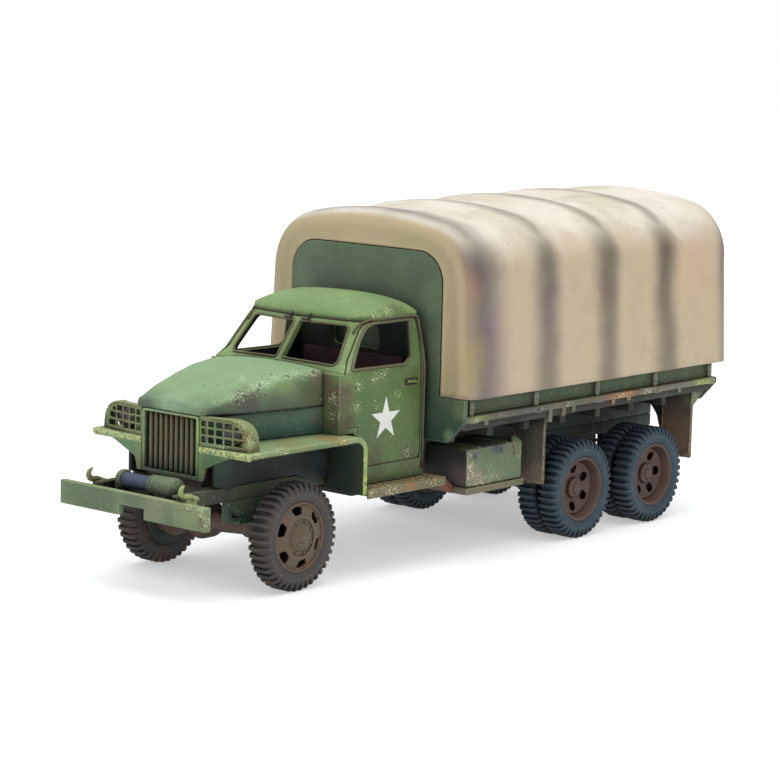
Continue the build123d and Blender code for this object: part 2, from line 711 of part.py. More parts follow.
def roof_cap(inset):
    """The roof's domed block, its walls and crown moved inwards by inset."""
    front_x = roof_front_x - inset
    rear_x = roof_rear_x + inset
    half = roof_half_width - inset
    crown = roof_top_z - inset
    base = eaves_z + seat_gap
    brow = [(front_x - run, crown - drop) for run, drop in roof_brow]
    shoulder = [(half - run, crown - drop) for run, drop in roof_shoulder]
    rear_crown = (rear_x, crown - roof_rear_drop)
    with BuildPart(mode=Mode.PRIVATE) as cap:
        with BuildSketch(Plane.XZ.offset(-half)):
            with BuildLine():
                ThreePointArc((front_x, base + roof_rim), brow[0], brow[1])
                ThreePointArc(brow[1], brow[2], rear_crown)
                Polyline(rear_crown, (rear_x, base), (front_x, base), (front_x, base + roof_rim))
            make_face()
        extrude(amount=2 * half)
        with BuildSketch(Plane.YZ.offset(rear_x)):
            with BuildLine():
                Polyline((-half, base + roof_rim), (-half, base), (half, base), (half, base + roof_rim))
                ThreePointArc((half, base + roof_rim), shoulder[0], shoulder[1])
                ThreePointArc(shoulder[1], (0, crown), (-shoulder[1][0], shoulder[1][1]))
                ThreePointArc((-shoulder[1][0], shoulder[1][1]), (-shoulder[0][0], shoulder[0][1]),
                              (-half, base + roof_rim))
            make_face()
        extrude(amount=front_x - rear_x, mode=Mode.INTERSECT)
        with BuildSketch(Plane.XY.offset(base)):
            with BuildLine():
                ThreePointArc((front_x - roof_bow, half), (front_x, 0), (front_x - roof_bow, -half))
                Polyline((front_x - roof_bow, -half), (rear_x, -half), (rear_x, half),
                         (front_x - roof_bow, half))
            make_face()
        extrude(amount=crown - base, mode=Mode.INTERSECT)
    return cap.part


with BuildPart() as cab_roof:
    add(roof_cap(0))
    add(roof_cap(roof_wall), mode=Mode.SUBTRACT)
cab_roof.part.label = "cab_roof"
export_step(cab_roof.part, "parts/cab_roof.step")

# ---------------------------------------------------------------- cab floor, seat and controls
floor_front_x = toe_x - cab_wall - seat_gap
floor_rear_x = cab_rear_x + cab_wall + seat_gap
floor_half_width = cab_half_width - cab_wall - seat_gap
cab_floor_top = cab_floor_bottom + cab_floor_thickness
with BuildPart() as cab_floor:
    with BuildSketch(Plane.XY.offset(cab_floor_bottom)):
        with Locations(((floor_front_x + floor_rear_x) / 2, 0)):
            Rectangle(floor_front_x - floor_rear_x, 2 * floor_half_width)
    extrude(amount=cab_floor_thickness)
cab_floor.part.label = "cab_floor"
export_step(cab_floor.part, "parts/cab_floor.step")

seat_half_width = 10.6
seat_depth = 7.4
seat_top_z = 23.4
seat_back_top_z = 32.6
seat_back_thickness = 1.8
seat_back_taper = 0.7
seat_cushion_height = 2.0
seat_cushion_lip = 0.8
seat_cushion_slope = 0.4
seat_rear_gap = 0.2
with BuildPart() as seat_bench:
    seat_rear_x = floor_rear_x + seat_rear_gap
    seat_front_x = seat_rear_x + seat_depth
    seat_box_x = seat_front_x - seat_cushion_lip
    back_x = seat_rear_x + seat_back_thickness
    with BuildSketch(Plane.XZ.offset(-seat_half_width)):
        with BuildLine():
            Polyline((seat_rear_x, cab_floor_top), (seat_box_x, cab_floor_top),
                     (seat_box_x, seat_top_z - seat_cushion_height),
                     (seat_front_x, seat_top_z - seat_cushion_height), (seat_front_x, seat_top_z),
                     (back_x, seat_top_z - seat_cushion_slope),
                     (back_x - seat_back_taper, seat_back_top_z),
                     (seat_rear_x, seat_back_top_z), close=True)
        make_face()
    extrude(amount=2 * seat_half_width)
seat_bench.part.label = "seat_bench"
export_step(seat_bench.part, "parts/seat_bench.step")

dash_bottom = 26.6
dash_top = 30.6
dash_depth = 2.6
dash_shelf_share = 0.6      # of the depth, before the face slants down
dash_lip = 0.8
steering_y = 6.2
wheel_ring_radius = 2.9
wheel_ring_wire = 0.35
wheel_boss_radius = 0.8
column_radius = 0.4
column_length = 11.0
column_tilt = 35            # degrees of the column's top from level
steering_setback = 2.2      # of the wheel's centre behind the dashboard
steering_drop = 2.8         # and below its top
with BuildPart() as dashboard:
    dash_front_x = cab_front_x - cab_wall - seat_gap
    with BuildSketch(Plane.XZ.offset(-floor_half_width)):
        with BuildLine():
            Polyline((dash_front_x, dash_bottom), (dash_front_x, dash_top),
                     (dash_front_x - dash_depth * dash_shelf_share, dash_top),
                     (dash_front_x - dash_depth, dash_bottom + dash_lip),
                     (dash_front_x - dash_depth, dash_bottom), close=True)
        make_face()
    extrude(amount=2 * floor_half_width)
dashboard.part.label = "dashboard"
export_step(dashboard.part, "parts/dashboard.step")

steering_x = dash_front_x - dash_depth - steering_setback
steering_z = dash_top - steering_drop
steering_plane = Plane(origin=(steering_x, steering_y, steering_z),
                       z_dir=Vector(-1, 0, 0).rotate(Axis.Y, column_tilt))
with BuildPart() as steering_wheel:
    with BuildSketch(steering_plane):
        Circle(wheel_ring_radius)
        Circle(wheel_ring_radius - 2 * wheel_ring_wire, mode=Mode.SUBTRACT)
        Rectangle(2 * wheel_ring_radius - wheel_ring_wire, 2 * wheel_ring_wire)
        Rectangle(2 * wheel_ring_wire, 2 * wheel_ring_radius - wheel_ring_wire)
        Circle(wheel_boss_radius)
    extrude(amount=wheel_ring_wire)
    with BuildSketch(steering_plane):
        Circle(column_radius)
    extrude(amount=-column_length)
    with BuildSketch(Plane.XZ.offset(-floor_half_width)):
        with BuildLine():
            Polyline((cab_rear_x, cab_floor_top + seat_gap), (dash_front_x, cab_floor_top + seat_gap),
                     (dash_front_x, dash_bottom - seat_gap),
                     (dash_front_x - dash_depth - seat_gap, dash_bottom - seat_gap),
                     (dash_front_x - dash_depth - seat_gap, roof_top_z), (cab_rear_x, roof_top_z), close=True)
        make_face()
    extrude(amount=2 * floor_half_width, mode=Mode.INTERSECT)
steering_wheel.part.label = "steering_wheel"
export_step(steering_wheel.part, "parts/steering_wheel.step")

# ---------------------------------------------------------------- hood and engine side panels
hood_split_rear_z = 26.7
hood_split_nose_z = 27.2
# columns: distance ahead of the front axle, half width, split line z, shoulder z, crown z
hood_sections = (
    (hood_rear_x - front_axle_x, hood_half_width, hood_split_rear_z, 31.4, 33.2),
    (-1.0, 10.0, 26.9, 31.1, 33.75),
    (5.3, 9.2, 27.05, 30.1, 32.5),
    (9.1, 8.3, 27.15, 29.1, 30.9),
    (12.3, hood_nose_half_width, hood_split_nose_z, 28.0, 28.9),
)


def hood_loft(inset):
    """The hood's domed block with its sides and crown moved inwards by inset."""
    with BuildPart(mode=Mode.PRIVATE) as block:
        for place, half, split_z, shoulder_z, crown_z in hood_sections:
            with BuildSketch(Plane.YZ.offset(front_axle_x + place)):
                with BuildLine():
                    Polyline((-half + inset, shoulder_z - inset), (-half + inset, split_z),
                             (half - inset, split_z), (half - inset, shoulder_z - inset))
                    ThreePointArc((half - inset, shoulder_z - inset), (0, crown_z - inset),
                                  (-half + inset, shoulder_z - inset))
                make_face()
        loft(ruled=True)
    return block.part


with BuildPart() as hood_space:
    add(hood_loft(hood_skin))
    with BuildSketch(Plane.YZ.offset(front_axle_x + hood_sections[-1][0] - hood_skin)):
        with Locations((0, hood_split_nose_z)):
            Rectangle(4 * hood_half_width, 4 * hood_half_width)
    extrude(amount=hood_skin, mode=Mode.SUBTRACT)

with BuildPart() as hood:
    add(hood_loft(0))
    add(hood_space.part, mode=Mode.SUBTRACT)
hood.part.label = "hood"
export_step(hood.part, "parts/hood.step")

with BuildPart() as side_panels:
    panel_front_x = fender_front_x - guard_skin - seat_gap
    for side in (1, -1):
        with BuildSketch(Plane.XY.offset(fender_top + seat_gap)):
            with BuildLine():
                Polyline((hood_rear_x, side * hood_half_width), (panel_front_x, side * hood_nose_half_width),
                         (panel_front_x, side * (grille_half_width + seat_gap)),
                         (panel_front_x - hood_skin, side * (grille_half_width + seat_gap)),
                         (panel_front_x - hood_skin, side * (hood_nose_half_width - hood_skin)),
                         (hood_rear_x, side * (hood_half_width - hood_skin)), close=True)
            make_face()
        extrude(amount=hood_split_rear_z - fender_top - 2 * seat_gap)
side_panels.part.label = "engine_side_panels"
export_step(side_panels.part, "parts/engine_side_panels.step")

# ---------------------------------------------------------------- radiator and grille
radiator_depth = 1.2
radiator_half_width = grille_half_width - 0.42
radiator_head_gap = 0.9     # below the grille's top
with BuildPart() as radiator:
    with BuildSketch(Plane.XY.offset(rail_top + seat_gap)):
        with Locations((grille_face_x - grille_depth - seat_gap - radiator_depth / 2, 0)):
            Rectangle(radiator_depth, 2 * radiator_half_width)
    extrude(amount=grille_top - radiator_head_gap - rail_top)
radiator.part.label = "radiator"
export_step(radiator.part, "parts/radiator.step")

with BuildPart() as radiator_grille:
    grille_middle_z = (grille_bottom + grille_top) / 2
    with BuildSketch(Plane.YZ.offset(grille_face_x - grille_depth)):
        with Locations((0, grille_middle_z)):
            Rectangle(2 * grille_half_width, grille_top - grille_bottom)
            Rectangle(2 * (grille_half_width - grille_post), grille_top - grille_bottom - 2 * grille_post,
                      mode=Mode.SUBTRACT)
            bar_pitch = 2 * (grille_half_width - grille_post) / (grille_bar_count + 1)
            with GridLocations(bar_pitch, 0, grille_bar_count, 1):
                Rectangle(grille_bar, grille_top - grille_bottom - grille_post)
    extrude(amount=grille_depth)
radiator_grille.part.label = "radiator_grille"
export_step(radiator_grille.part, "parts/radiator_grille.step")

# ---------------------------------------------------------------- fenders with their front aprons
apron_thickness = 0.6
apron_outer_y = 13.5        # outer end of the apron below the fender's front edge
apron_edge = 0.5            # its height there
apron_foot_y = grille_half_width + 0.88
apron_bend_y = grille_half_width + 1.28
apron_bend_z = fender_top - 3.2
arch_wall_head = 0.8        # of the arch wall below the fender's top
for side_name, side in (("left", 1), ("right", -1)):
    with BuildPart() as fender:
        with BuildSketch(Plane.XZ.offset(-side * arch_wall_y)):
            with BuildLine():
                Polyline((fender_rear_x, fender_top - fender_corner), (fender_rear_x, fender_drop_bottom),
                         (fender_rear_x + fender_skin, fender_drop_bottom),
                         (fender_rear_x + fender_skin, fender_top - fender_corner))
                RadiusArc((fender_rear_x + fender_skin, fender_top - fender_corner),
                          (fender_rear_x + fender_corner, fender_top - fender_skin),
                          fender_corner - fender_skin)
                Polyline((fender_rear_x + fender_corner, fender_top - fender_skin),
                         (fender_front_x, fender_top - fender_skin), (fender_front_x, fender_top),
                         (fender_rear_x + fender_corner, fender_top))
                RadiusArc((fender_rear_x + fender_corner, fender_top),
                          (fender_rear_x, fender_top - fender_corner), -fender_corner)
            make_face()
        extrude(amount=-side * (fender_half_width - arch_wall_y))
        with BuildSketch(Plane.XY.offset(arch_wall_bottom)):
            arch_front_x = fender_front_x - arch_wall_front_inset
            with Locations(((fender_rear_x + arch_front_x) / 2, side * (arch_wall_y + fender_skin / 2))):
                Rectangle(arch_front_x - fender_rear_x, fender_skin)
        extrude(amount=fender_top - arch_wall_head - arch_wall_bottom)
        with BuildSketch(Plane.YZ.offset(fender_front_x)):
            grille_edge_y = grille_half_width + seat_gap
            with BuildLine():
                Polyline((side * grille_edge_y, fender_top), (side * apron_outer_y, fender_top),
                         (side * apron_outer_y, fender_top - apron_edge), (side * apron_bend_y, apron_bend_z),
                         (side * apron_foot_y, grille_bottom), (side * grille_edge_y, grille_bottom),
                         close=True)
            make_face()
        extrude(amount=-apron_thickness)
    fender.part.label = f"fender_{side_name}"
    export_step(fender.part, f"parts/fender_{side_name}.step")

# ---------------------------------------------------------------- headlamps and their guards
lamp_taper = 20             # degrees, of the bowl towards its back
lamp_foot = 1.0
with BuildPart() as headlamps:
    for side in (1, -1):
        with BuildSketch(Plane.YZ.offset(lamp_front_x)):
            with Locations((side * lamp_y, lamp_z)):
                Circle(lamp_radius)
        extrude(amount=-lamp_depth, taper=lamp_taper)
        with BuildSketch(Plane.XY.offset(fender_top + seat_gap)):
            with Locations((lamp_front_x - lamp_depth / 2, side * lamp_y)):
                Rectangle(lamp_foot, lamp_foot)
        extrude(amount=lamp_z - fender_top - seat_gap)
headlamps.part.label = "headlamps"
export_step(headlamps.part, "parts/headlamps.step")

guard_inner_y = grille_half_width + 0.25
guard_bend_y = 12.6         # where the guard starts to wrap back
guard_sweep = 1.6
guard_bottom = fender_top + seat_gap
guard_hoop = 2.0            # length of the hoop that runs back over the lamp
# columns: y of an outline point, its drop below the guard's top
guard_outline = ((guard_inner_y, 0.6), (9.0, 0.0), (11.5, 0.25), (13.6, 1.2), (15.0, 2.8),
                 (guard_half_width, guard_top - guard_bottom - 1.0),
                 (guard_half_width, guard_top - guard_bottom), (guard_inner_y, guard_top - guard_bottom))
guard_hole_pitch_y = 1.45
guard_hole_pitch_z = 1.15
guard_hole_width = 0.95
guard_hole_height = 0.7
guard_hole_middle_y = 10.0
guard_hole_middle_z = 24.7
with BuildPart() as lamp_guards:
    for side in (1, -1):
        with BuildSketch(Plane.XY.offset(guard_bottom)):
            corner_x = fender_front_x - guard_sweep
            hoop_x = corner_x - guard_hoop
            hoop_inner_y = guard_half_width - guard_skin
            with BuildLine():
                Polyline((fender_front_x, side * guard_inner_y), (fender_front_x, side * guard_bend_y),
                         (corner_x, side * guard_half_width), (hoop_x, side * guard_half_width),
                         (hoop_x, side * hoop_inner_y), (corner_x - guard_skin * 0.4, side * hoop_inner_y),
                         (fender_front_x - guard_skin, side * (guard_bend_y - guard_skin * 0.3)),
                         (fender_front_x - guard_skin, side * guard_inner_y), close=True)
            make_face()
        extrude(amount=guard_top - guard_bottom)
    with BuildSketch(Plane.YZ.offset(fender_front_x)):
        for side in (1, -1):
            with BuildLine():
                Polyline(*((side * y, guard_top - drop) for y, drop in guard_outline), close=True)
            make_face()
    extrude(amount=-(guard_sweep + guard_hoop), mode=Mode.INTERSECT)
    with BuildSketch(Plane.YZ.offset(fender_front_x)):
        for side in (1, -1):
            with Locations((side * guard_hole_middle_y, guard_hole_middle_z)):
                with GridLocations(guard_hole_pitch_y, guard_hole_pitch_z, guard_columns, guard_rows):
                    Rectangle(guard_hole_width, guard_hole_height)
    extrude(amount=-guard_skin, mode=Mode.SUBTRACT)
lamp_guards.part.label = "lamp_guards"
export_step(lamp_guards.part, "parts/lamp_guards.step")

# ---------------------------------------------------------------- running boards
bracket_length = 1.6
bracket_places = (0.25, 0.75)             # along a running board
with BuildPart() as running_boards:
    step_length = step_front_x - step_rear_x
    step_inner_y = cab_half_width - cab_wall
    for side in (1, -1):
        with BuildSketch(Plane.XY.offset(step_top - step_thickness)):
            with Locations(((step_front_x + step_rear_x) / 2, side * (step_inner_y + step_outer_y) / 2)):
                Rectangle(step_length, step_outer_y - step_inner_y)
            for share in bracket_places:
                with Locations((step_rear_x + share * step_length, side * (rail_inner + step_inner_y) / 2)):
                    Rectangle(bracket_length, step_inner_y - rail_inner)
        extrude(amount=step_thickness)
running_boards.part.label = "running_boards"
export_step(running_boards.part, "parts/running_boards.step")

# ---------------------------------------------------------------- fuel tank, stowage box and trays
tank_inner_y = rail_outer + seat_gap
filler_radius = 1.0
filler_height = 1.3
for node_name, side in (("fuel_tank", 1), ("stowage_box", -1)):
    with BuildPart() as side_box:
        with BuildSketch(Plane.XY.offset(tank_bottom)):
            with Locations((tank_front_x - tank_length / 2, side * (tank_inner_y + tank_outer_y) / 2)):
                Rectangle(tank_length, tank_outer_y - tank_inner_y)
        extrude(amount=tank_height)
        if side == 1:
            with BuildSketch(Plane.XY.offset(tank_bottom + tank_height)):
                with Locations((tank_front_x - tank_length + 1.4 * filler_radius,
                                tank_outer_y - 1.2 * filler_radius)):
                    RegularPolygon(filler_radius, 8)
            extrude(amount=filler_height)
    side_box.part.label = node_name
    export_step(side_box.part, f"parts/{node_name}.step")

with BuildPart() as box_trays:
    for side in (1, -1):
        with BuildSketch(Plane.XY.offset(tank_bottom - seat_gap)):
            with Locations((tank_front_x - tank_length / 2, side * (tank_inner_y + tank_outer_y) / 2)):
                Rectangle(tank_length + 2 * tray_lip, tank_outer_y - tank_inner_y + 2 * tray_lip)
        extrude(amount=-tray_thickness)
box_trays.part.label = "box_trays"
export_step(box_trays.part, "parts/box_trays.step")

# ---------------------------------------------------------------- cargo bed
bearer_top = bed_floor_top - bed_floor_thickness - sill_height
with BuildPart() as bed_bearers:
    with BuildSketch(Plane.XY.offset(rail_top + seat_gap)):
        for side in (1, -1):
            with Locations(((bed_front_x - bed_wall + rail_tail_x) / 2, side * rail_mid)):
                Rectangle(bed_front_x - bed_wall - rail_tail_x, rail_width)
    extrude(amount=bearer_top - seat_gap - rail_top - seat_gap)
bed_bearers.part.label = "bed_bearers"
export_step(bed_bearers.part, "parts/bed_bearers.step")

floor_start_x = bed_front_x - bed_wall - seat_gap
floor_end_x = tail_x + bed_wall + seat_gap
with BuildPart() as bed_floor:
    with BuildSketch(Plane.XY.offset(bed_floor_top - bed_floor_thickness)):
        with Locations(((floor_start_x + floor_end_x) / 2, 0)):
            Rectangle(floor_start_x - floor_end_x, 2 * bed_floor_half_width)
    extrude(amount=bed_floor_thickness)
    with BuildSketch(Plane.XY.offset(bed_floor_top - bed_floor_thickness)):
        with Locations(((floor_start_x + floor_end_x) / 2, 0)):
            sill_pitch = (floor_start_x - floor_end_x - sill_width) / (sill_count - 1)
            with GridLocations(sill_pitch, 0, sill_count, 1):
                Rectangle(sill_width, 2 * sill_half_width)
    extrude(amount=-sill_height)
bed_floor.part.label = "bed_floor"
export_step(bed_floor.part, "parts/bed_floor.step")

bulkhead_half_width = opening_half_width - opening_gap
bulkhead_top = opening_top - opening_gap
with BuildPart() as bed_front_wall:
    with BuildSketch(Plane.YZ.offset(bed_front_x)):
        with BuildLine():
            Polyline((-bevel_foot_half, wall_foot_z), (bevel_foot_half, wall_foot_z),
                     (bed_wall_half_width, bevel_top_z), (bed_wall_half_width, canopy_bottom - opening_gap),
                     (-bed_wall_half_width, canopy_bottom - opening_gap),
                     (-bed_wall_half_width, bevel_top_z), close=True)
        make_face()
    extrude(amount=-bed_wall)
    with BuildSketch(Plane.YZ.offset(bed_front_x)):
        with Locations((0, (canopy_bottom + bulkhead_top - opening_corner) / 2)):
            RectangleRounded(2 * bulkhead_half_width, bulkhead_top - canopy_bottom + opening_corner,
                             opening_corner)
    extrude(amount=-bed_wall)
bed_front_wall.part.label = "bed_front_wall"
export_step(bed_front_wall.part, "parts/bed_front_wall.step")

for side_name, side in (("left", 1), ("right", -1)):
    with BuildPart() as bed_side:
        with BuildSketch(Plane.YZ.offset(floor_end_x)):
            with Locations((side * (rail_in_y - bed_side_skin + bed_rail_half_width) / 2,
                            bed_floor_top + seat_gap + bed_rail_height / 2)):
                Rectangle(bed_rail_thickness + bed_side_skin, bed_rail_height)
            with Locations((side * (rail_in_y - bed_side_skin / 2),
                            (bed_floor_top + bed_side_top + seat_gap) / 2)):
                Rectangle(bed_side_skin, bed_side_top - bed_floor_top - seat_gap)
        extrude(amount=bed_front_x - canopy_skin - seat_gap - floor_end_x)
        with BuildSketch(Plane.XY.offset(bed_rail_top)):
            for place in bed_post_places:
                with Locations((front_axle_x + place, side * (rail_in_y + post_depth / 2))):
                    Rectangle(post_width, post_depth)
        extrude(amount=bed_side_top - bed_rail_top)
    bed_side.part.label = f"bed_side_{side_name}"
    export_step(bed_side.part, f"parts/bed_side_{side_name}.step")

with BuildPart() as tailgate:
    with BuildSketch(Plane.YZ.offset(tail_x)):
        with BuildLine():
            Polyline((-bevel_foot_half, wall_foot_z), (bevel_foot_half, wall_foot_z),
                     (bed_rail_half_width, bevel_top_z), (bed_rail_half_width, bed_rail_top),
                     (rail_in_y, bed_rail_top), (rail_in_y, tailgate_top),
                     (-rail_in_y, tailgate_top), (-rail_in_y, bed_rail_top),
                     (-bed_rail_half_width, bed_rail_top),
                     (-bed_rail_half_width, bevel_top_z), close=True)
        make_face()
    extrude(amount=bed_wall)
tailgate.part.label = "tailgate"
export_step(tailgate.part, "parts/tailgate.step")

# ---------------------------------------------------------------- canopy, moulded in one piece
canopy_front_bevel = 1.5    # inwards, which takes the sharpness off the front edge
# columns: distance behind the front axle, share of the sag between bows, crown height, bevel
canopy_stations = (
    (31.4, 0.0, 54.9, canopy_front_bevel), (33.4, 0.0, 55.2, 0), (34.6, 0.0, 55.3, 0), (43.0, 1.0, 55.5, 0),
    (51.3, 0.0, 55.7, 0), (59.7, 1.0, 55.8, 0), (68.0, 0.0, 56.0, 0), (76.4, 1.0, 56.1, 0),
    (84.7, 0.0, 56.2, 0), (93.0, 1.0, 56.1, 0), (100.6, 0.0, 56.0, 0), (102.5, 0.9, 55.8, 0),
)
canopy_eave_z = 44.5
canopy_eave_half = canopy_half_width - 0.86
canopy_round_half = canopy_eave_half - 7.3
canopy_round_drop = 1.5     # from the crown down to where the top meets the rounded edge
canopy_bulge_half = canopy_eave_half - 1.85
canopy_bulge_drop = 5.0


def canopy_face(place, sag_share, crown_z, bevel, wall):
    """One cross-section of the canopy's outside, moved inwards by its bevel and a wall."""
    inset = bevel + wall
    sink = inset + sag_share * canopy_sag
    with BuildSketch(Plane.YZ.offset(front_axle_x - place)) as section:
        with BuildLine():
            Polyline((-canopy_eave_half + sink, canopy_eave_z), (-canopy_half_width + inset, canopy_bottom),
                     (canopy_half_width - inset, canopy_bottom), (canopy_eave_half - sink, canopy_eave_z))
            ThreePointArc((canopy_eave_half - sink, canopy_eave_z),
                          (canopy_bulge_half - sink * 0.8, crown_z - canopy_bulge_drop - sink * 0.8),
                          (canopy_round_half, crown_z - canopy_round_drop - sink))
            ThreePointArc((canopy_round_half, crown_z - canopy_round_drop - sink), (0, crown_z - sink),
                          (-canopy_round_half, crown_z - canopy_round_drop - sink))
            ThreePointArc((-canopy_round_half, crown_z - canopy_round_drop - sink),
                          (-canopy_bulge_half + sink * 0.8, crown_z - canopy_bulge_drop - sink * 0.8),
                          (-canopy_eave_half + sink, canopy_eave_z))
        make_face()
    return section.sketch


with BuildPart() as canopy_space:
    loft([canopy_face(*station, canopy_skin) for station in canopy_stations], ruled=True)
    with BuildSketch(Plane.YZ.offset(front_axle_x - canopy_stations[0][0])):
        with Locations((0, canopy_eave_z)):
            Rectangle(4 * canopy_half_width, 4 * canopy_half_width)
    extrude(amount=-canopy_skin, mode=Mode.SUBTRACT)

with BuildPart() as canopy:
    loft([canopy_face(*station, 0) for station in canopy_stations], ruled=True)
    add(canopy_space.part, mode=Mode.SUBTRACT)
    with BuildSketch(Plane.YZ.offset(front_axle_x - canopy_stations[0][0])):
        with Locations((0, (canopy_bottom + opening_top) / 2 - opening_corner)):
            RectangleRounded(2 * opening_half_width, opening_top - canopy_bottom + 2 * opening_corner,
                             opening_corner)
    extrude(amount=-canopy_skin, mode=Mode.SUBTRACT)
    with BuildSketch(Plane.YZ.offset(tail_x + bed_wall + seat_gap)):
        for side in (1, -1):
            ledge_inner = rail_in_y - bed_side_skin
            ledge_outer = canopy_half_width - canopy_skin / 2
            with Locations((side * (ledge_inner + ledge_outer) / 2,
                            bed_side_top + seat_gap + ledge_height / 2)):
                Rectangle(ledge_outer - ledge_inner, ledge_height)
    extrude(amount=front_axle_x - canopy_stations[1][0] - tail_x - bed_wall - seat_gap)
canopy.part.label = "canopy"
export_step(canopy.part, "parts/canopy.step")

# ---------------------------------------------------------------- mud flaps, lamps and tow bracket
flap_inner_y = rear_wheel_face - twin_width
flap_middle_y = (flap_inner_y + flap_outer_y) / 2
flap_top = bed_floor_top - bed_floor_thickness - seat_gap
# columns: distance of the flap behind the front axle, lower end, length of the brace behind it
flap_places = ((54.9, 10.0, 0), (97.4, 9.5, 3.6))
flap_brace_slope = 0.75     # its height for each mm of its length
flap_brace_width = 0.9
with BuildPart() as mud_flaps:
    for place, flap_bottom, brace in flap_places:
        flap_rear_x = front_axle_x - place - flap_thickness
        for side in (1, -1):
            with BuildSketch(Plane.XY.offset(flap_bottom)):
                with Locations((flap_rear_x + flap_thickness / 2, side * flap_middle_y)):
                    Rectangle(flap_thickness, flap_outer_y - flap_inner_y)
            extrude(amount=flap_top - flap_bottom)
            if brace:
                with BuildSketch(Plane.XZ.offset(-side * flap_outer_y)):
                    with BuildLine():
                        Polyline((flap_rear_x, flap_top), (flap_rear_x - brace, flap_top),
                                 (flap_rear_x, flap_top - brace * flap_brace_slope), close=True)
                    make_face()
                extrude(amount=side * flap_brace_width)
mud_flaps.part.label = "mud_flaps"
export_step(mud_flaps.part, "parts/mud_flaps.step")

tail_lamp_y = 14.6
tail_lamp_radius = 0.9
with BuildPart() as tail_lamps:
    for side in (1, -1):
        with BuildSketch(Plane.YZ.offset(floor_end_x - seat_gap)):
            with Locations((side * tail_lamp_y, wall_foot_z - tail_lamp_radius - seat_gap)):
                Circle(tail_lamp_radius)
        extrude(amount=-(bed_wall - seat_gap))
tail_lamps.part.label = "tail_lamps"
export_step(tail_lamps.part, "parts/tail_lamps.step")

pintle_bore_radius = 0.5
pintle_width = 2.4
pintle_height = 1.4
pintle_reach = 2.2
with BuildPart() as tow_bracket:
    with BuildSketch(Plane.XY.offset(rail_bottom + rail_height / 2 - pintle_height / 2)):
        with Locations((rail_tail_x - seat_gap - pintle_reach / 2, 0)):
            Rectangle(pintle_reach, pintle_width)
        with Locations((rail_tail_x - seat_gap - pintle_reach + 2 * pintle_bore_radius, 0)):
            Circle(pintle_bore_radius, mode=Mode.SUBTRACT)
    extrude(amount=pintle_height)
tow_bracket.part.label = "tow_bracket"
export_step(tow_bracket.part, "parts/tow_bracket.step")
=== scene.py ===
import bpy
import bmesh
import math
from mathutils import Matrix, Vector


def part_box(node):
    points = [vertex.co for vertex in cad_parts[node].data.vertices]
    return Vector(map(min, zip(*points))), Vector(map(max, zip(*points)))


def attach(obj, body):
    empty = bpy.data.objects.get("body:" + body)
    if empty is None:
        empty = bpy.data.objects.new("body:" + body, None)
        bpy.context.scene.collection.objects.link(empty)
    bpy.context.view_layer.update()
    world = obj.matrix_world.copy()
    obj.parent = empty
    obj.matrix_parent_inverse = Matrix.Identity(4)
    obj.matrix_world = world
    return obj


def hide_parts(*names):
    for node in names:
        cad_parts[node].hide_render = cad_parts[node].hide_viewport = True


# A tabletop model of a covered six-wheel-drive cargo truck, in moulded plastic with brushed and
# sprayed paint. Metres, +X forward, +Y to the truck's left, origin on the ground under its middle.
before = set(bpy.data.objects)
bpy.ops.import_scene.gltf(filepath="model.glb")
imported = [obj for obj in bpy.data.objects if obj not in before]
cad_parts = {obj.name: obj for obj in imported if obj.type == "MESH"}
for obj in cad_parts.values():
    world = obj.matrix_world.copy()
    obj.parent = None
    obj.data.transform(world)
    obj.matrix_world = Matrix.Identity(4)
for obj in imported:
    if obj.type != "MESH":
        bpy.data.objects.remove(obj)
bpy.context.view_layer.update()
scene = bpy.context.scene
MM = 0.001


# ---- studio: camera, floor and light
# A photographer's table with a pale seamless sheet, a broad soft box overhead and a large bounce
# board at the side. The camera is a long lens a little above the model.
def linear(code):
    """An sRGB hex colour as linear red, green, blue and alpha."""
    channels = [int(code[i:i + 2], 16) / 255 for i in (1, 3, 5)]
    return tuple(c / 12.92 if c <= 0.04045 else ((c + 0.055) / 1.055) ** 2.4 for c in channels) + (1.0,)


def add_node(tree, kind, settings=None, **inputs):
    """Adds a node with its settings; an input given as a socket is linked, otherwise it is set.
    An input's name is its label with underscores, or its number after the letter i."""
    node = tree.nodes.new(kind)
    for key, value in (settings or {}).items():
        setattr(node, key, value)
    for key, value in inputs.items():
        socket = node.inputs[int(key[1:])] if key[1:].isdigit() else node.inputs[key.replace("_", " ")]
        if isinstance(value, bpy.types.NodeSocket):
            tree.links.new(value, socket)
        else:
            socket.default_value = value
    return node


camera_place = Vector((0.336632, 0.284729, 0.091249))
camera_right = Vector((-0.652001, 0.757762, 0.026309))
camera_up = Vector((-0.096023, -0.116940, 0.988486))
camera_data = bpy.data.cameras.new("studio_camera")
camera_data.lens = 125.205
camera_data.sensor_width = 36.0
camera_data.clip_start = 0.01
camera_data.clip_end = 100.0
camera = bpy.data.objects.new("studio_camera", camera_data)
scene.collection.objects.link(camera)
camera_turn = Matrix((camera_right, camera_up, camera_right.cross(camera_up))).transposed()
camera.matrix_world = Matrix.Translation(camera_place) @ camera_turn.to_4x4()
scene.camera = camera
scene.view_settings.view_transform = "Standard"

world = bpy.data.worlds.new("studio_air")
scene.world = world
world.use_nodes = True
world.node_tree.nodes["Background"].inputs["Color"].default_value = linear("#F6F8FA")
world.node_tree.nodes["Background"].inputs["Strength"].default_value = 0.8

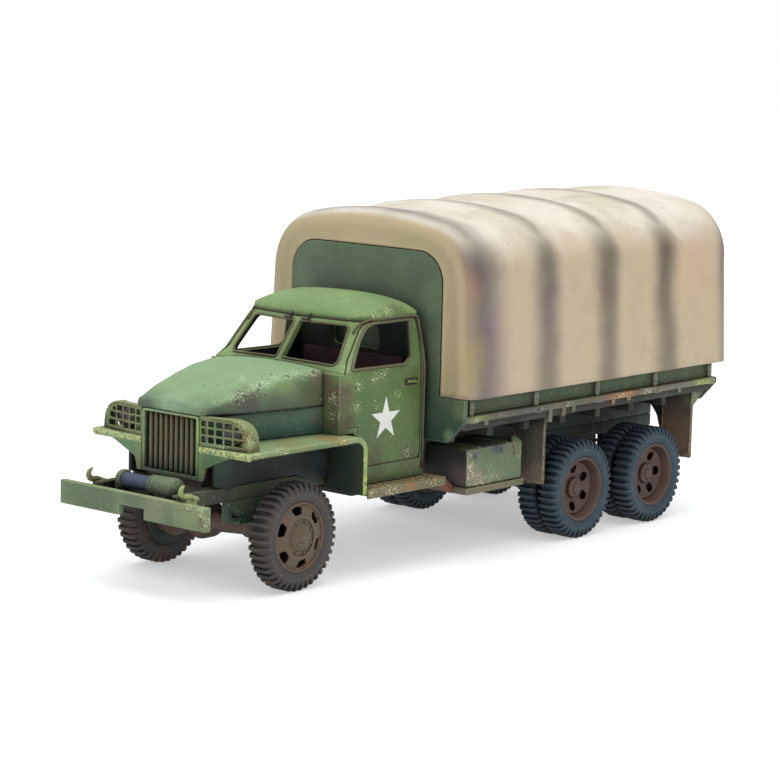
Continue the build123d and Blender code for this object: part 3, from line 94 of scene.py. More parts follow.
# columns: name, place, size, power in watts, colour
soft_boxes = (("overhead_box", (0.05, 0.05, 0.75), 0.55, 2.6, "#FFFDF8"),
    ("side_board", (0.2, 0.75, 0.3), 0.6, 0.6, "#FFF8EE"))
for name, place, size, power, colour in soft_boxes:
    light_data = bpy.data.lights.new(name, "AREA")
    light_data.size = size
    light_data.energy = power
    light_data.color = linear(colour)[:3]
    light = bpy.data.objects.new(name, light_data)
    light.location = place
    light.rotation_euler = (Vector((0, 0, 0.02)) - Vector(place)).to_track_quat("-Z", "Y").to_euler()
    scene.collection.objects.link(light)

floor_mesh = bpy.data.meshes.new("studio_floor")
reach = 30.0
floor_mesh.from_pydata([(-reach, -reach, 0), (reach, -reach, 0), (reach, reach, 0), (-reach, reach, 0)], [],
    [(0, 1, 2, 3)])
floor = bpy.data.objects.new("studio_floor", floor_mesh)
scene.collection.objects.link(floor)
floor_paper = bpy.data.materials.new("matt_white_paper")
floor_paper.use_nodes = True
paper_shader = floor_paper.node_tree.nodes["Principled BSDF"]
paper_shader.inputs["Base Color"].default_value = linear("#E4E5E6")
paper_shader.inputs["Emission Color"].default_value = linear("#FFFFFF")
paper_shader.inputs["Emission Strength"].default_value = 0.42
paper_shader.inputs["Roughness"].default_value = 0.9
floor_mesh.materials.append(floor_paper)


# ---- frame rails and cross members
# Two long channel rails tied by plates: the model's moulded plastic chassis, sprayed dark green
# and washed with thin brown paint that stays in the corners.
def paint_tools(name, clamped):
    """A new material and what its paint is mixed with: a smooth ramp of a value, sums, products, a
    colour over another, clouds by the size of their spots in mm, nearness to a place in mm, and the
    last links to the shader."""
    material = bpy.data.materials.new(name)
    material.use_nodes = True
    tree = material.node_tree
    place = add_node(tree, "ShaderNodeTexCoord").outputs["Object"]
    facing = add_node(tree, "ShaderNodeNewGeometry").outputs["Normal"]

    def ramp(value, low, high, start=0.0, end=1.0):
        return add_node(tree, "ShaderNodeMapRange", {"interpolation_type": "SMOOTHSTEP"}, i0=value, i1=low,
            i2=high, i3=start, i4=end).outputs[0]

    def sums(kind, first, second=0.0):
        return add_node(tree, "ShaderNodeMath", {"operation": kind, "use_clamp": clamped}, i0=first,
            i1=second).outputs[0]

    def times(first, second):
        return sums("MULTIPLY", first, second)

    def over(share, below, above):
        return add_node(tree, "ShaderNodeMix", {"data_type": "RGBA"}, i0=share, i6=below, i7=above).outputs[2]

    def cloud(size_mm, detail=2.0, rough=0.5, shift=None):
        spot = place if shift is None else add_node(tree, "ShaderNodeVectorMath", {"operation": "ADD"},
            i0=place, i1=(shift, 0.7 * shift, 1.3 * shift)).outputs[0]
        return add_node(tree, "ShaderNodeTexNoise", Vector=spot, Scale=1 / (size_mm * MM), Detail=detail,
            Roughness=rough).outputs[0]

    def near(centre, radius, core=0.2):
        gap = add_node(tree, "ShaderNodeVectorMath", {"operation": "DISTANCE"}, i0=place,
            i1=tuple((c * MM for c in centre))).outputs["Value"]
        return ramp(gap, radius * MM, core * radius * MM)

    def finished(colour, roughness, shine, roughened, grain):
        shader = tree.nodes["Principled BSDF"]
        tree.links.new(colour, shader.inputs["Base Color"])
        tree.links.new(roughness, shader.inputs["Roughness"])
        shader.inputs["Specular IOR Level"].default_value = shine
        bump = add_node(tree, "ShaderNodeBump", Strength=roughened, Distance=0.03 * MM, Height=grain)
        tree.links.new(bump.outputs[0], shader.inputs["Normal"])
        return material

    return tree, place, facing, ramp, sums, times, over, cloud, near, finished


def painted_plastic(name, base, light, shade, wash, rim, wash_share=0.35, rim_share=0.5, chips=0.0,
        chip_colour="#D9DE9A", dark_chip="#3A3B40", clusters=(), spots=(), fade=None, up_light=0.75,
        wear_width=0.28, roughness=0.62, inside=None):
    """Moulded polystyrene under matt model paint, which hides all gloss but a soft sheen: a sprayed
    base that is lighter on faces that look up and darker in the recesses and on faces that look down, the
    model's airbrushing together with painted light and painted shade; a brown wash, brushed light edges, and
    small sponged chips that crowd in the clusters, each a place and a radius in millimetres. Spots are soft
    tones, each a place, a radius, a colour and a strength: most are airbrushed paint, and some are painted
    shade and painted highlights. A fade is a colour and the two heights that it grows between. Inside is the
    middle of a hollow piece and the colour of the faces that look towards it, a painted shade."""
    tree, place, facing, ramp, sums, times, over, cloud, near, finished = paint_tools(name, True)
    up = add_node(tree, "ShaderNodeSeparateXYZ", Vector=facing).outputs["Z"]
    openness = add_node(tree, "ShaderNodeAmbientOcclusion", {"samples": 6}, Distance=3.2 * MM).outputs["AO"]
    rounded = add_node(tree, "ShaderNodeBevel", {"samples": 4}, Radius=wear_width * MM).outputs[0]
    likeness = add_node(tree, "ShaderNodeVectorMath", {"operation": "DOT_PRODUCT"}, i0=rounded,
        i1=facing).outputs["Value"]
    open_edge = times(ramp(likeness, 0.985, 0.86), ramp(openness, 0.42, 0.72))
    patches = cloud(9.0, 3.0, 0.5, 0.0)
    bristle = cloud(0.55, 3.0, 0.6, 0.3)
    brushed = cloud(2.2, 3.0, 0.65, 0.9)
    flecks = cloud(0.22, 1.0, 0.5, 1.7)

    # painted highlight: faces that look up are lighter, as if lit from above
    lit = times(ramp(up, -0.1, 0.95), up_light)
    lit = sums("ADD", lit, ramp(patches, 0.38, 0.75, 0.0, 0.45))
    colour = over(lit, linear(base), linear(light))
    if fade:
        code, none_at, full_at = fade
        height = add_node(tree, "ShaderNodeSeparateXYZ", Vector=place).outputs["Z"]
        uneven = sums("ADD", height, times(brushed, 0.0008))
        colour = over(ramp(uneven, none_at * MM, full_at * MM), colour, linear(code))
    for centre, radius, code, strength in spots:
        share = times(near(centre, radius), ramp(brushed, 0.25, 0.6, 0.55, 1.0))
        colour = over(times(share, strength), colour, linear(code))
    # painted shade in the recesses and on faces that look down
    shaded = sums("MAXIMUM", ramp(openness, 0.85, 0.25, 0.0, 0.9), ramp(up, -0.15, -0.9, 0.0, 0.8))
    colour = over(shaded, colour, linear(shade))
    washed = times(ramp(brushed, 0.42, 0.66), ramp(openness, 0.98, 0.55, 0.25, 1.0))
    colour = over(times(washed, wash_share), colour, linear(wash))
    edge = times(open_edge, ramp(bristle, 0.36, 0.56))
    colour = over(times(edge, rim_share), colour, linear(rim))
    if chips or clusters:
        crowd = sums("ADD", ramp(patches, 0.5, 0.8, 0.0, chips), times(open_edge, 1.6 * chips))
        for centre, radius in clusters:
            crowd = sums("ADD", crowd, near(centre, radius))
        pale = ramp(sums("ADD", flecks, times(crowd, 0.16)), 0.735, 0.76)
        dark = ramp(sums("ADD", cloud(0.6, 1.5, 0.5, 2.6), times(crowd, 0.12)), 0.74, 0.76)
        colour = over(times(pale, 0.8), colour, linear(chip_colour))
        colour = over(times(dark, 0.85), colour, linear(dark_chip))
    # painted shade: faces that look into a hollow piece darken, as the shade inside it
    if inside:
        centre, code = inside
        outward = add_node(tree, "ShaderNodeVectorMath", {"operation": "SUBTRACT"}, i0=place,
            i1=tuple((c * MM for c in centre))).outputs[0]
        turn = add_node(tree, "ShaderNodeVectorMath", {"operation": "DOT_PRODUCT"}, i0=outward,
            i1=facing).outputs["Value"]
        colour = over(ramp(turn, -2.5 * MM, -7.0 * MM, 0.0, 0.92), colour, linear(code))
    return finished(colour, ramp(brushed, 0.3, 0.7, roughness - 0.08, roughness + 0.1), 0.35, 0.25, bristle)


def finish_piece(piece, body, slot_name, *nodes):
    """Ties a finished piece to its body and hides the frame nodes that it stands for. Its slot name is not
    used.
    """
    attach(piece, body)
    if nodes:
        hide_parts(*nodes)
    return piece


def make_object(name, mesh, material):
    """A new object at the origin that shows a mesh in one material."""
    piece = bpy.data.objects.new(name, mesh)
    scene.collection.objects.link(piece)
    mesh.materials.clear()
    mesh.materials.append(material)
    return piece


def settled(piece):
    """The piece with its modifiers applied, as a plain mesh under the same name."""
    shaped = bpy.data.meshes.new_from_object(piece.evaluated_get(bpy.context.evaluated_depsgraph_get()))
    piece.modifiers.clear()
    piece.data = shaped
    return piece


def softened(node, name, material, width=0.14, segments=2, angle=32.0):
    """A node's shape with the small rounded edges that a moulded or cast piece has, width in mm."""
    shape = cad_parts[node].data.copy()
    work = bmesh.new()
    work.from_mesh(shape)
    bmesh.ops.remove_doubles(work, verts=work.verts, dist=0.002 * MM)
    bmesh.ops.dissolve_limit(work, angle_limit=math.radians(1.0), verts=work.verts, edges=work.edges)
    for face in work.faces:
        face.smooth = True
    work.to_mesh(shape)
    work.free()
    piece = make_object(name, shape, material)
    edges = piece.modifiers.new("rounded_edges", "BEVEL")
    edges.width = width * MM
    edges.segments = segments
    edges.limit_method = "ANGLE"
    edges.angle_limit = math.radians(angle)
    edges.harden_normals = True
    return settled(piece)


# the near-black teal spots along the rails under the bed are painted shade
chassis_paint = painted_plastic("brown_washed_chassis_paint", "#343E33", "#535C44", "#101C1B", "#6E4C36",
    "#7C8362", wash_share=0.5, chips=0.15, spots=(((-6, 8, 15), 14, "#18282A", 0.85),
    ((-24, 8, 15), 16, "#14252A", 0.95), ((-40, 8, 15), 16, "#14252A", 0.95),
    ((-54, 8, 15), 10, "#18282A", 0.85)))
for node in ("frame_rail_left", "frame_rail_right", "cross_members", "bed_bearers", "tow_bracket"):
    finish_piece(softened(node, node + "_cast", chassis_paint), "chassis", "running_gear_brown", node)

# ---- front bumper
# A pressed channel across the nose with a winch notch below, in bright yellow-green paint that is
# rubbed along its edges.
bumper_paint = painted_plastic("yellow_green_bumper_paint", "#58674F", "#92A37A", "#3A4835", "#74654A",
    "#C6D196", wash_share=0.25, rim_share=0.75, chips=0.12, chip_colour="#D9DFAE", dark_chip="#4A4540",
    clusters=(((61.4, 14.6, 14.6), 1.8), ((61, 15.4, 13), 1.5), ((61.4, 12, 15.2), 1.6)),
    spots=(((61.4, 12, 14.2), 4.5, "#74825A", 0.8), ((61.4, -13, 13.6), 4, "#58704E", 0.7),
    ((61.4, 4.6, 13.2), 3.2, "#7C7E66", 0.6), ((61.4, 14.8, 13), 1.6, "#5A4A38", 0.6)))
finish_piece(softened("front_bumper", "bumper_channel", bumper_paint, 0.16), "chassis", "body_green",
    "front_bumper")

# ---- tyres
# Chunky bar-tread tyres, moulded in one with their sidewalls. The front pair is dusted with brown
# and the twins stay blue-grey, all dry-brushed so that the bars stand out.
def join_meshes(name, meshes, material):
    """One object from several meshes, all in one material."""
    work = bmesh.new()
    for mesh in meshes:
        work.from_mesh(mesh)
    whole = bpy.data.meshes.new(name)
    work.to_mesh(whole)
    work.free()
    return make_object(name, whole, material)


def add_piece(name, meshes, paint, *nodes, slot="body_green", body="chassis"):
    """One piece from several meshes, tied to its body, with the nodes that it stands for hidden. Its slot is
    not used.
    """
    return finish_piece(join_meshes(name, meshes, paint), body, slot, *nodes)


def smooth_mesh(work, name, most_corners=1000):
    """A smooth mesh from a bmesh. Faces with more corners than the limit stay flat."""
    for face in work.faces:
        face.smooth = len(face.verts) <= most_corners
    mesh = bpy.data.meshes.new(name)
    work.to_mesh(mesh)
    work.free()
    return mesh


def closed_mesh(work, name, most_corners=1000):
    """A smooth mesh from a closed bmesh, with its faces turned outwards first."""
    bmesh.ops.recalc_face_normals(work, faces=work.faces)
    return smooth_mesh(work, name, most_corners)


def revolved(outline, steps=96):
    """A closed mesh swept round the Y axis from an outline of (along the axle, radius) in mm. An
    outline that starts on the axis ends on it as well."""
    work = bmesh.new()
    loop = [work.verts.new((0, along * MM, radius * MM)) for along, radius in outline]
    edges = [work.edges.new(pair) for pair in zip(loop, loop[1:])]
    if outline[0][1] > 0:
        edges.append(work.edges.new((loop[-1], loop[0])))
    bmesh.ops.spin(work, geom=loop + edges, axis=(0, 1, 0), cent=(0, 0, 0), angle=2 * math.pi, steps=steps,
        use_merge=True)
    bmesh.ops.remove_doubles(work, verts=work.verts, dist=0.001 * MM)
    bmesh.ops.dissolve_degenerate(work, dist=0.0005 * MM, edges=work.edges)
    work.verts.index_update()
    total = len(work.verts)

    def by_corners(face):
        # spin lists its faces in another order on each run, so they are sorted by their corners
        first, second, third = sorted(vert.index for vert in face.verts)[:3]
        return (first * total + second) * total + third

    work.faces.sort(key=by_corners)
    return closed_mesh(work, "revolved")


def repeat_tree(name, way):
    """Geometry Nodes that repeat a shape round an axle along Y through a Centre, or on by a Step."""
    tree = bpy.data.node_groups.new(name, "GeometryNodeTree")
    for label, kind in (("Shape", "Geometry"), ("Count", "Int"), (way, "Vector")):
        tree.interface.new_socket(name=label, in_out="INPUT", socket_type="NodeSocket" + kind)
    tree.interface.new_socket(name="Shape", in_out="OUTPUT", socket_type="NodeSocketGeometry")
    inlet = add_node(tree, "NodeGroupInput").outputs
    if way == "Centre":
        points = add_node(tree, "GeometryNodePoints", Count=inlet["Count"], Position=inlet[way]).outputs[0]
        number = add_node(tree, "GeometryNodeInputIndex").outputs[0]
        share = add_node(tree, "ShaderNodeMath", {"operation": "DIVIDE"}, i0=number,
            i1=inlet["Count"]).outputs[0]
        turn = add_node(tree, "ShaderNodeMath", {"operation": "MULTIPLY"}, i0=share,
            i1=2 * math.pi).outputs[0]
        about = add_node(tree, "ShaderNodeCombineXYZ", Y=turn).outputs[0]
    else:
        points = add_node(tree, "GeometryNodeMeshLine", {"mode": "OFFSET"}, Count=inlet["Count"],
            Offset=inlet[way]).outputs[0]
        about = (0, 0, 0)
    copies = add_node(tree, "GeometryNodeInstanceOnPoints", Points=points, Instance=inlet["Shape"],
        Rotation=about).outputs[0]
    whole = add_node(tree, "GeometryNodeRealizeInstances", Geometry=copies).outputs[0]
    if way == "Centre":
        whole = add_node(tree, "GeometryNodeMergeByDistance", Geometry=whole, Distance=0.002 * MM).outputs[0]
    add_node(tree, "NodeGroupOutput", Shape=whole)
    return tree


copies_round = repeat_tree("copies_round_an_axle", "Centre")
copies_in_row = repeat_tree("copies_along_a_row", "Step")


def repeated(mesh, tree, **values):
    """The mesh that a node group makes of a shape."""
    maker = bpy.data.objects.new("repeat_maker", mesh)
    scene.collection.objects.link(maker)
    modifier = maker.modifiers.new("copies", "NODES")
    modifier.node_group = tree
    for item in tree.interface.items_tree:
        if item.in_out == "INPUT" and item.name in values:
            modifier[item.identifier] = values[item.name]
    made = settled(maker).data
    bpy.data.objects.remove(maker)
    return made


def ring_of(mesh, count, centre=(0, 0, 0)):
    """The mesh of count copies of a shape round an axle through a centre in metres."""
    return repeated(mesh, copies_round, Count=count, Centre=tuple(centre))


def row_of(mesh, count, step):
    """The mesh of count copies of a shape, each a step in mm on from the one before."""
    return repeated(mesh, copies_in_row, Count=count, Step=tuple(s * MM for s in step))


def moved(mesh, matrix):
    """A copy of a mesh put through a matrix."""
    other = mesh.copy()
    other.transform(matrix)
    return other


def shifted(mesh, offset):
    """A copy of a mesh moved by an offset in metres."""
    return moved(mesh, Matrix.Translation(offset))


def lofted(sections, closed_ends=True):
    """A mesh through rings of points in metres, each ring with as many points."""
    work = bmesh.new()
    rings = [[work.verts.new(point) for point in ring] for ring in sections]
    count = len(rings[0])
    for first, second in zip(rings, rings[1:]):
        for i in range(count):
            j = (i + 1) % count
            work.faces.new((first[i], first[j], second[j], second[i]))
    if closed_ends:
        work.faces.new(rings[0][::-1])
        work.faces.new(rings[-1])
    return closed_mesh(work, "lofted")


tyre_low, tyre_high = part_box("tyre_front_left")
tyre_width = (tyre_high.y - tyre_low.y) / MM
tyre_radius = (tyre_high.z - tyre_low.z) / 2 / MM
tyre_half = tyre_width / 2
rim_seat = 5.36
lug_count = 41
# columns: along the axle from the tyre's middle, radius of the carcass
tyre_wall = ((tyre_half - 0.42, rim_seat), (tyre_half - 0.2, rim_seat + 0.12),
    (tyre_half - 0.1, rim_seat + 0.4), (tyre_half, rim_seat + 0.95), (tyre_half + 0.02, 6.75),
    (tyre_half - 0.06, 7.15), (tyre_half - 0.3, 7.55), (tyre_half - 0.75, 7.72), (0, 7.78))
tyre_outline = list(tyre_wall) + [(-along, radius) for along, radius in reversed(tyre_wall[:-1])]
tyre_outline += [(-tyre_half + 0.6, rim_seat - 0.25), (tyre_half - 0.6, rim_seat - 0.25)]
carcass = revolved(tyre_outline, 120)
# columns: along the axle, radius at the bar's top, how deep it reaches into the carcass
bar_path = ((tyre_half - 0.02, 6.62, 0.1), (tyre_half + 0.1, 6.86, 0.3), (tyre_half + 0.09, 7.3, 0.5),
    (tyre_half - 0.04, 7.74, 0.6), (tyre_half - 0.24, 8.08, 0.6), (tyre_half - 0.52, tyre_radius, 0.7),
    (0.0, tyre_radius, 0.7))
bar_path = bar_path + tuple((-along, radius, depth) for along, radius, depth in reversed(bar_path[:-1]))
bar_top_half = 0.27
bar_root_half = 0.34


def tread_bar():
    """One bar across the tread, its top narrower than its root, at the tyre's crown."""
    sections = []
    for along, radius, depth in bar_path:
        shoulder = radius - 0.12
        root = radius - depth
        sections.append([(x * MM, along * (1.0 if z > root else 0.9) * MM, z * MM)
            for x, z in ((-bar_root_half, root), (-bar_top_half - 0.02, shoulder),
            (-bar_top_half + 0.08, radius), (bar_top_half - 0.08, radius), (bar_top_half + 0.02, shoulder),
            (bar_root_half, root))])
    return lofted(sections)


front_tyre_paint = painted_plastic("dusted_black_rubber_paint", "#403E3E", "#524E4C", "#12171A", "#6B5543",
    "#7D736C", wash_share=0.5, rim_share=0.45, up_light=0.0, roughness=0.78)
twin_tyre_paint = painted_plastic("blue_black_rubber_paint", "#2C3D48", "#405462", "#0D1519", "#4C4A48",
    "#6E818B", wash_share=0.25, rim_share=0.45, up_light=0.0, roughness=0.72)
twin_spacing = (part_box("tyre_rear_left")[1].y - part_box("tyre_rear_left")[0].y) / MM - tyre_width
twin_offsets = (-twin_spacing / 2, twin_spacing / 2)
for axle, paint, offsets in (("front", front_tyre_paint, (0.0,)), ("middle", twin_tyre_paint, twin_offsets),
        ("rear", twin_tyre_paint, twin_offsets)):
    for side in ("left", "right"):
        node = f"tyre_{axle}_{side}"
        low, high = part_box(node)
        shapes = []
        for offset in offsets:
            centre = (low + high) / 2 + Vector((0, offset * MM, 0))
            shapes += [shifted(carcass, centre), ring_of(tread_bar(), lug_count, centre)]
        add_piece(f"bar_tread_{axle}_{side}", shapes, paint, node, slot="tyre_paint",
            body=f"wheel_{axle}_{side}")

# ---- wheels
# Front wheels are pressed discs that bulge outwards, with six openings near the rim and a stepped
# hub. The twins are deep dishes with oval openings and a boss. All are moulded and painted brown.
def pressed_disc(rows, count=6):
    """A pressed disc with openings, its face towards +Y. Columns of a row: radius, along the axle,
    half angle in degrees that the opening leaves there, or none."""
    part = 2 * math.pi / count
    work = bmesh.new()
    grid = []
    for radius, along, half_angle in rows:
        half = math.radians(half_angle or 8)
        angles = [-part / 2 + (part / 2 - half) * i / 4 for i in range(4)]
        angles += [-half + 2 * half * i / 4 for i in range(5)]
        angles += [half + (part / 2 - half) * i / 4 for i in range(1, 5)]
        grid.append([work.verts.new((radius * math.sin(a) * MM, along * MM, radius * math.cos(a) * MM))
            for a in angles])
    for row in range(len(grid) - 1):
        for column in range(len(grid[0]) - 1):
            if rows[row][2] and rows[row + 1][2] and 4 <= column < 8:
                continue
            work.faces.new((grid[row][column], grid[row + 1][column], grid[row + 1][column + 1],
                grid[row][column + 1]))
    mesh = smooth_mesh(work, "disc_part")
    sheet = bpy.data.objects.new("disc_sheet", ring_of(mesh, count))
    scene.collection.objects.link(sheet)
    wall = sheet.modifiers.new("pressed_thickness", "SOLIDIFY")
    wall.thickness = disc_wall * MM
    wall.offset = -1.0
    corner = sheet.modifiers.new("soft_edges", "BEVEL")
    corner.width = 0.07 * MM
    corner.segments = 2
    corner.limit_method = "ANGLE"
    corner.angle_limit = math.radians(50)
    made = settled(sheet).data
    bpy.data.objects.remove(sheet)
    return made


def wheel_nut(ring_radius, start, height, across=0.3):
    """A hexagonal nut with a chamfered top, on a ring round the axle, facing +Y."""
    sections = []
    for along, size in ((start, across), (start + height - 0.06, across), (start + height, across * 0.72)):
        sections.append([(size * MM * math.sin(math.radians(60 * i)), along * MM,
            (ring_radius + size * math.cos(math.radians(60 * i))) * MM) for i in range(6)])
    return lofted(sections)


def mirrored(mesh):
    """A mesh turned over to the truck's other side."""
    other = moved(mesh, Matrix.Scale(-1, 4, (0, 1, 0)))
    other.flip_normals()
    return other


def turned(mesh, degrees):
    """A mesh turned round the Y axis."""
    return moved(mesh, Matrix.Rotation(math.radians(degrees), 4, "Y"))


disc_wall = 0.4
bore = 0.65
# outlines: along the axle from the outer tyre's middle, radius
front_barrel = ((-1.5, 5.42), (-1.55, 5.2), (-1.5, 4.98), (1.15, 4.9), (1.42, 4.96), (1.56, 5.1), (1.56, 5.3),
    (1.44, 5.44))
front_hub = ((0.75, 0), (0.75, bore), (-1.65, bore), (-1.65, 1.9), (0.7, 1.9), (0.75, 3.02), (1.4, 3.06),
    (1.5, 3), (1.56, 2.86), (1.58, 2.2), (1.64, 2.1), (1.82, 2.04), (1.88, 1.94), (1.9, 1.62), (1.95, 1.54),
    (2.08, 1.5), (2.13, 1.4), (2.14, 0.95), (2.18, 0.86), (2.36, 0.8), (2.42, 0.68), (2.45, 0.4), (2.45, 0))
front_disc = ((5, 0.86, None), (4.78, 0.86, None), (4.66, 0.9, 9), (4.55, 0.94, 14), (4.15, 1.08, 14),
    (3.75, 1.2, 12.5), (3.52, 1.27, 11), (3.44, 1.3, 7), (3.3, 1.33, None), (3, 1.38, None),
    (2.85, 1.38, None))
twin_outer_barrel = ((1.44, 5.44), (1.56, 5.32), (1.58, 5.16), (1.5, 4.98), (1.3, 4.84), (0.7, 4.7),
    (0.1, 4.52), (-0.3, 4.34), (-0.6, 4.5), (-1.6, 4.5), (-1.6, 5.42))
twin_inner_barrel = ((-2.7, 5.42), (-2.7, 4.9), (-5.75, 4.9), (-5.85, 5.1), (-5.85, 5.32), (-5.75, 5.42))
twin_hub = ((-3.55, 0), (-3.55, bore), (-5.95, bore), (-5.95, 1.9), (-1.5, 1.9), (-1, 1.88), (-0.9, 1.8),
    (-0.1, 1.72), (0.1, 1.66), (0.2, 1.5), (0.22, 1.12), (0.28, 1.04), (0.5, 1), (0.58, 0.9), (0.6, 0.45),
    (0.66, 0.36), (0.7, 0))
twin_disc = ((4.45, -0.3, None), (4.3, -0.36, None), (4.16, -0.44, None), (4.05, -0.5, 6), (3.85, -0.6, 10),
    (3.45, -0.75, 13.5), (2.95, -0.86, 14.5), (2.62, -0.92, 12), (2.48, -0.94, 7), (2.3, -0.96, None),
    (1.9, -0.9, None), (1.7, -0.85, None))
twin_inner_disc = tuple((radius, along - 1.35, half) for radius, along, half in twin_disc)

front_rim_paint = painted_plastic("khaki_brown_wheel_paint", "#5A4D40", "#70624F", "#1C1713", "#77512F",
    "#A3896A", wash_share=0.5, rim_share=0.8, up_light=0.1, wear_width=0.2)
twin_rim_paint = painted_plastic("red_brown_wheel_paint", "#54413A", "#6A5247", "#171110", "#6A4230",
    "#A8948A", wash_share=0.4, rim_share=0.9, up_light=0.1, wear_width=0.2)
front_nut_ring = 2.52
twin_nut_ring = 1.36
front_wheel = [revolved(front_barrel), revolved(front_hub), turned(pressed_disc(front_disc), 8),
    turned(ring_of(wheel_nut(front_nut_ring, 1.5, 0.24), 8), 22)]
twin_wheel = [revolved(twin_outer_barrel), revolved(twin_inner_barrel), revolved(twin_hub),
    pressed_disc(twin_disc), pressed_disc(twin_inner_disc), ring_of(wheel_nut(twin_nut_ring, 0.14, 0.16, 0.2),
    8)]
for axle, paint, slot_name, shapes in (("front", front_rim_paint, "front_rim_paint", front_wheel),
        ("middle", twin_rim_paint, "rear_rim_paint", twin_wheel), ("rear", twin_rim_paint, "rear_rim_paint",
        twin_wheel)):
    for side_name, side in (("left", 1), ("right", -1)):
        low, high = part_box(f"tyre_{axle}_{side_name}")
        outer_wall = high.y if side == 1 else low.y
        hub_place = Vector(((low.x + high.x) / 2, outer_wall - side * tyre_half * MM, (low.z + high.z) / 2))
        handed = shapes if side == 1 else [mirrored(shape) for shape in shapes]
        if axle == "rear":
            handed = [turned(shape, 31) for shape in handed]
        add_piece(f"wheel_{axle}_{side_name}", [shifted(shape, hub_place) for shape in handed], paint,
            f"rim_{axle}_{side_name}", slot=slot_name, body=f"wheel_{axle}_{side_name}")

# ---- canopy
# A rigid moulding of a canvas cover stretched over five bows, so it is thin, hard and open behind.
# It is sprayed khaki with soft dark bands along the bows, and stands on ledges inside the bed sides.
def box_mm(node):
    """The low and the high corner of a frame node's box in mm."""
    return [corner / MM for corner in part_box(node)]


canopy_low, canopy_high = box_mm("canopy")
bow_places = (6.6, -10.1, -26.8, -43.5, -59.4)
# columns: place along the truck, height of the crown
crown_line = ((9.8, 54.9), (6.6, 55.3), (-10.1, 55.7), (-26.8, 56), (-43.5, 56.15), (-59.4, 56),
    (-61.3, 55.9))
bottom_z = canopy_low.z
bottom_half = canopy_high.y
eave_z, eave_half = 44.5, bottom_half - 0.86
skin = 1.1
front_round = 2.8
rear_round = 0.45
sag = 0.75
opening_half, opening_z, opening_corner = bottom_half - 6.36, 49.4, 5.0
side_rows, corner_rows, top_rows = 16, 14, 12


def between(table, place):
    """A value read from a table of (place, value) along a falling place."""
    for (first, low), (second, high) in zip(table, table[1:]):
        if second <= place <= first:
            return low + (high - low) * (first - place) / (first - second)
    return table[0][1] if place > table[0][0] else table[-1][1]


def slack(place):
    """How far the skin hangs between two bows, from 0 on a bow to 1 halfway."""
    for front_bow, back_bow in zip(bow_places, bow_places[1:]):
        if back_bow <= place <= front_bow:
            share = (front_bow - place) / (front_bow - back_bow)
            return math.sin(math.pi * share) ** 1.3 * (1.12 - 0.3 * share)
    return 0.25 * min(1.0, max(0.0, place - bow_places[0]) / 3 + max(0.0, bow_places[-1] - place) / 2)


def arc_through(start, middle, end, count):
    """Points on the circle through three points, without the last one."""
    (ax, ay), (bx, by), (cx, cy) = start, middle, end
    d = 2 * (ax * (by - cy) + bx * (cy - ay) + cx * (ay - by))
    ux = ((ax * ax + ay * ay) * (by - cy) + (bx * bx + by * by) * (cy - ay) + (cx * cx + cy * cy)
        * (ay - by)) / d
    uy = ((ax * ax + ay * ay) * (cx - bx) + (bx * bx + by * by) * (ax - cx) + (cx * cx + cy * cy)
        * (bx - ax)) / d
    first = math.atan2(ay - uy, ax - ux)
    last = math.atan2(cy - uy, cx - ux)
    while last < first:
        last += 2 * math.pi
    radius = math.hypot(ax - ux, ay - uy)
    return [(ux + radius * math.cos(first + (last - first) * i / count),
        uy + radius * math.sin(first + (last - first) * i / count)) for i in range(count)]


def cover_half(place, inset, hang):
    """The left half of the cover's section, as (across, height) from its lower edge to the crown."""
    crown = between(crown_line, place) - inset - hang
    half = eave_half - inset - 0.9 * hang
    bulge = (eave_half - 1.85 - 0.8 * (inset + hang), crown + 0.2 * (inset + hang) - 5.0)
    shoulder = (eave_half - 7.3, crown - 1.5)
    low_half = bottom_half - inset - 0.25 * hang
    line = [(low_half + (half - low_half) * (i / side_rows) ** 1.1,
        bottom_z + (eave_z - bottom_z) * i / side_rows) for i in range(side_rows)]
    line += arc_through((half, eave_z), bulge, shoulder, corner_rows)
    line += arc_through(shoulder, (0.0, crown), (-shoulder[0], shoulder[1]), 2 * top_rows)[:top_rows + 1]
    return line


def opening_half_line(inset):
    """The left half of the front opening's edge, with the rows of the cover's section."""
    half, top = opening_half + inset, opening_z + inset
    corner = opening_corner + inset
    line = [(half, bottom_z + (top - corner - bottom_z) * i / side_rows) for i in range(side_rows)]
    line += [(half - corner + corner * math.cos(math.pi / 2 * i / corner_rows),
        top - corner + corner * math.sin(math.pi / 2 * i / corner_rows)) for i in range(corner_rows)]
    line += [((half - corner) * (1 - i / top_rows), top) for i in range(top_rows + 1)]
    return line


def both_sides(place, line):
    """A whole row of the cover at a place along the truck, from its left to its right lower edge."""
    points = [Vector((place, across, height)) for across, height in line]
    return points + [Vector((place, -across, height)) for across, height in line[-2::-1]]


def drawn_folds(point):
    """How far a tight fold lifts the skin: creases that run down from the shoulder in the last bay."""
    lift = 0.0
    # columns: start along the truck and height, end along the truck and height, width, lift
    for start_x, start_z, end_x, end_z, width, rise in ((-44.5, 51.8, -58.5, 40.5, 0.75, 0.28),
            (-44.5, 53.6, -60, 50.3, 0.8, 0.25), (-28.5, 50.6, -33.5, 46, 0.8, 0.16),
            (-12, 50.8, -17, 45.5, 0.8, 0.14)):
        run = Vector((end_x - start_x, end_z - start_z))
        away = Vector((point.x - start_x, point.z - start_z))
        share = max(0.0, min(1.0, away.dot(run) / run.length_squared))
        gap = (away - run * share).length
        lift += rise * math.exp(-(gap / width) ** 2) * math.sin(math.pi
            * min(1.0, 0.12 + 0.88 * share)) ** 0.5
    return lift


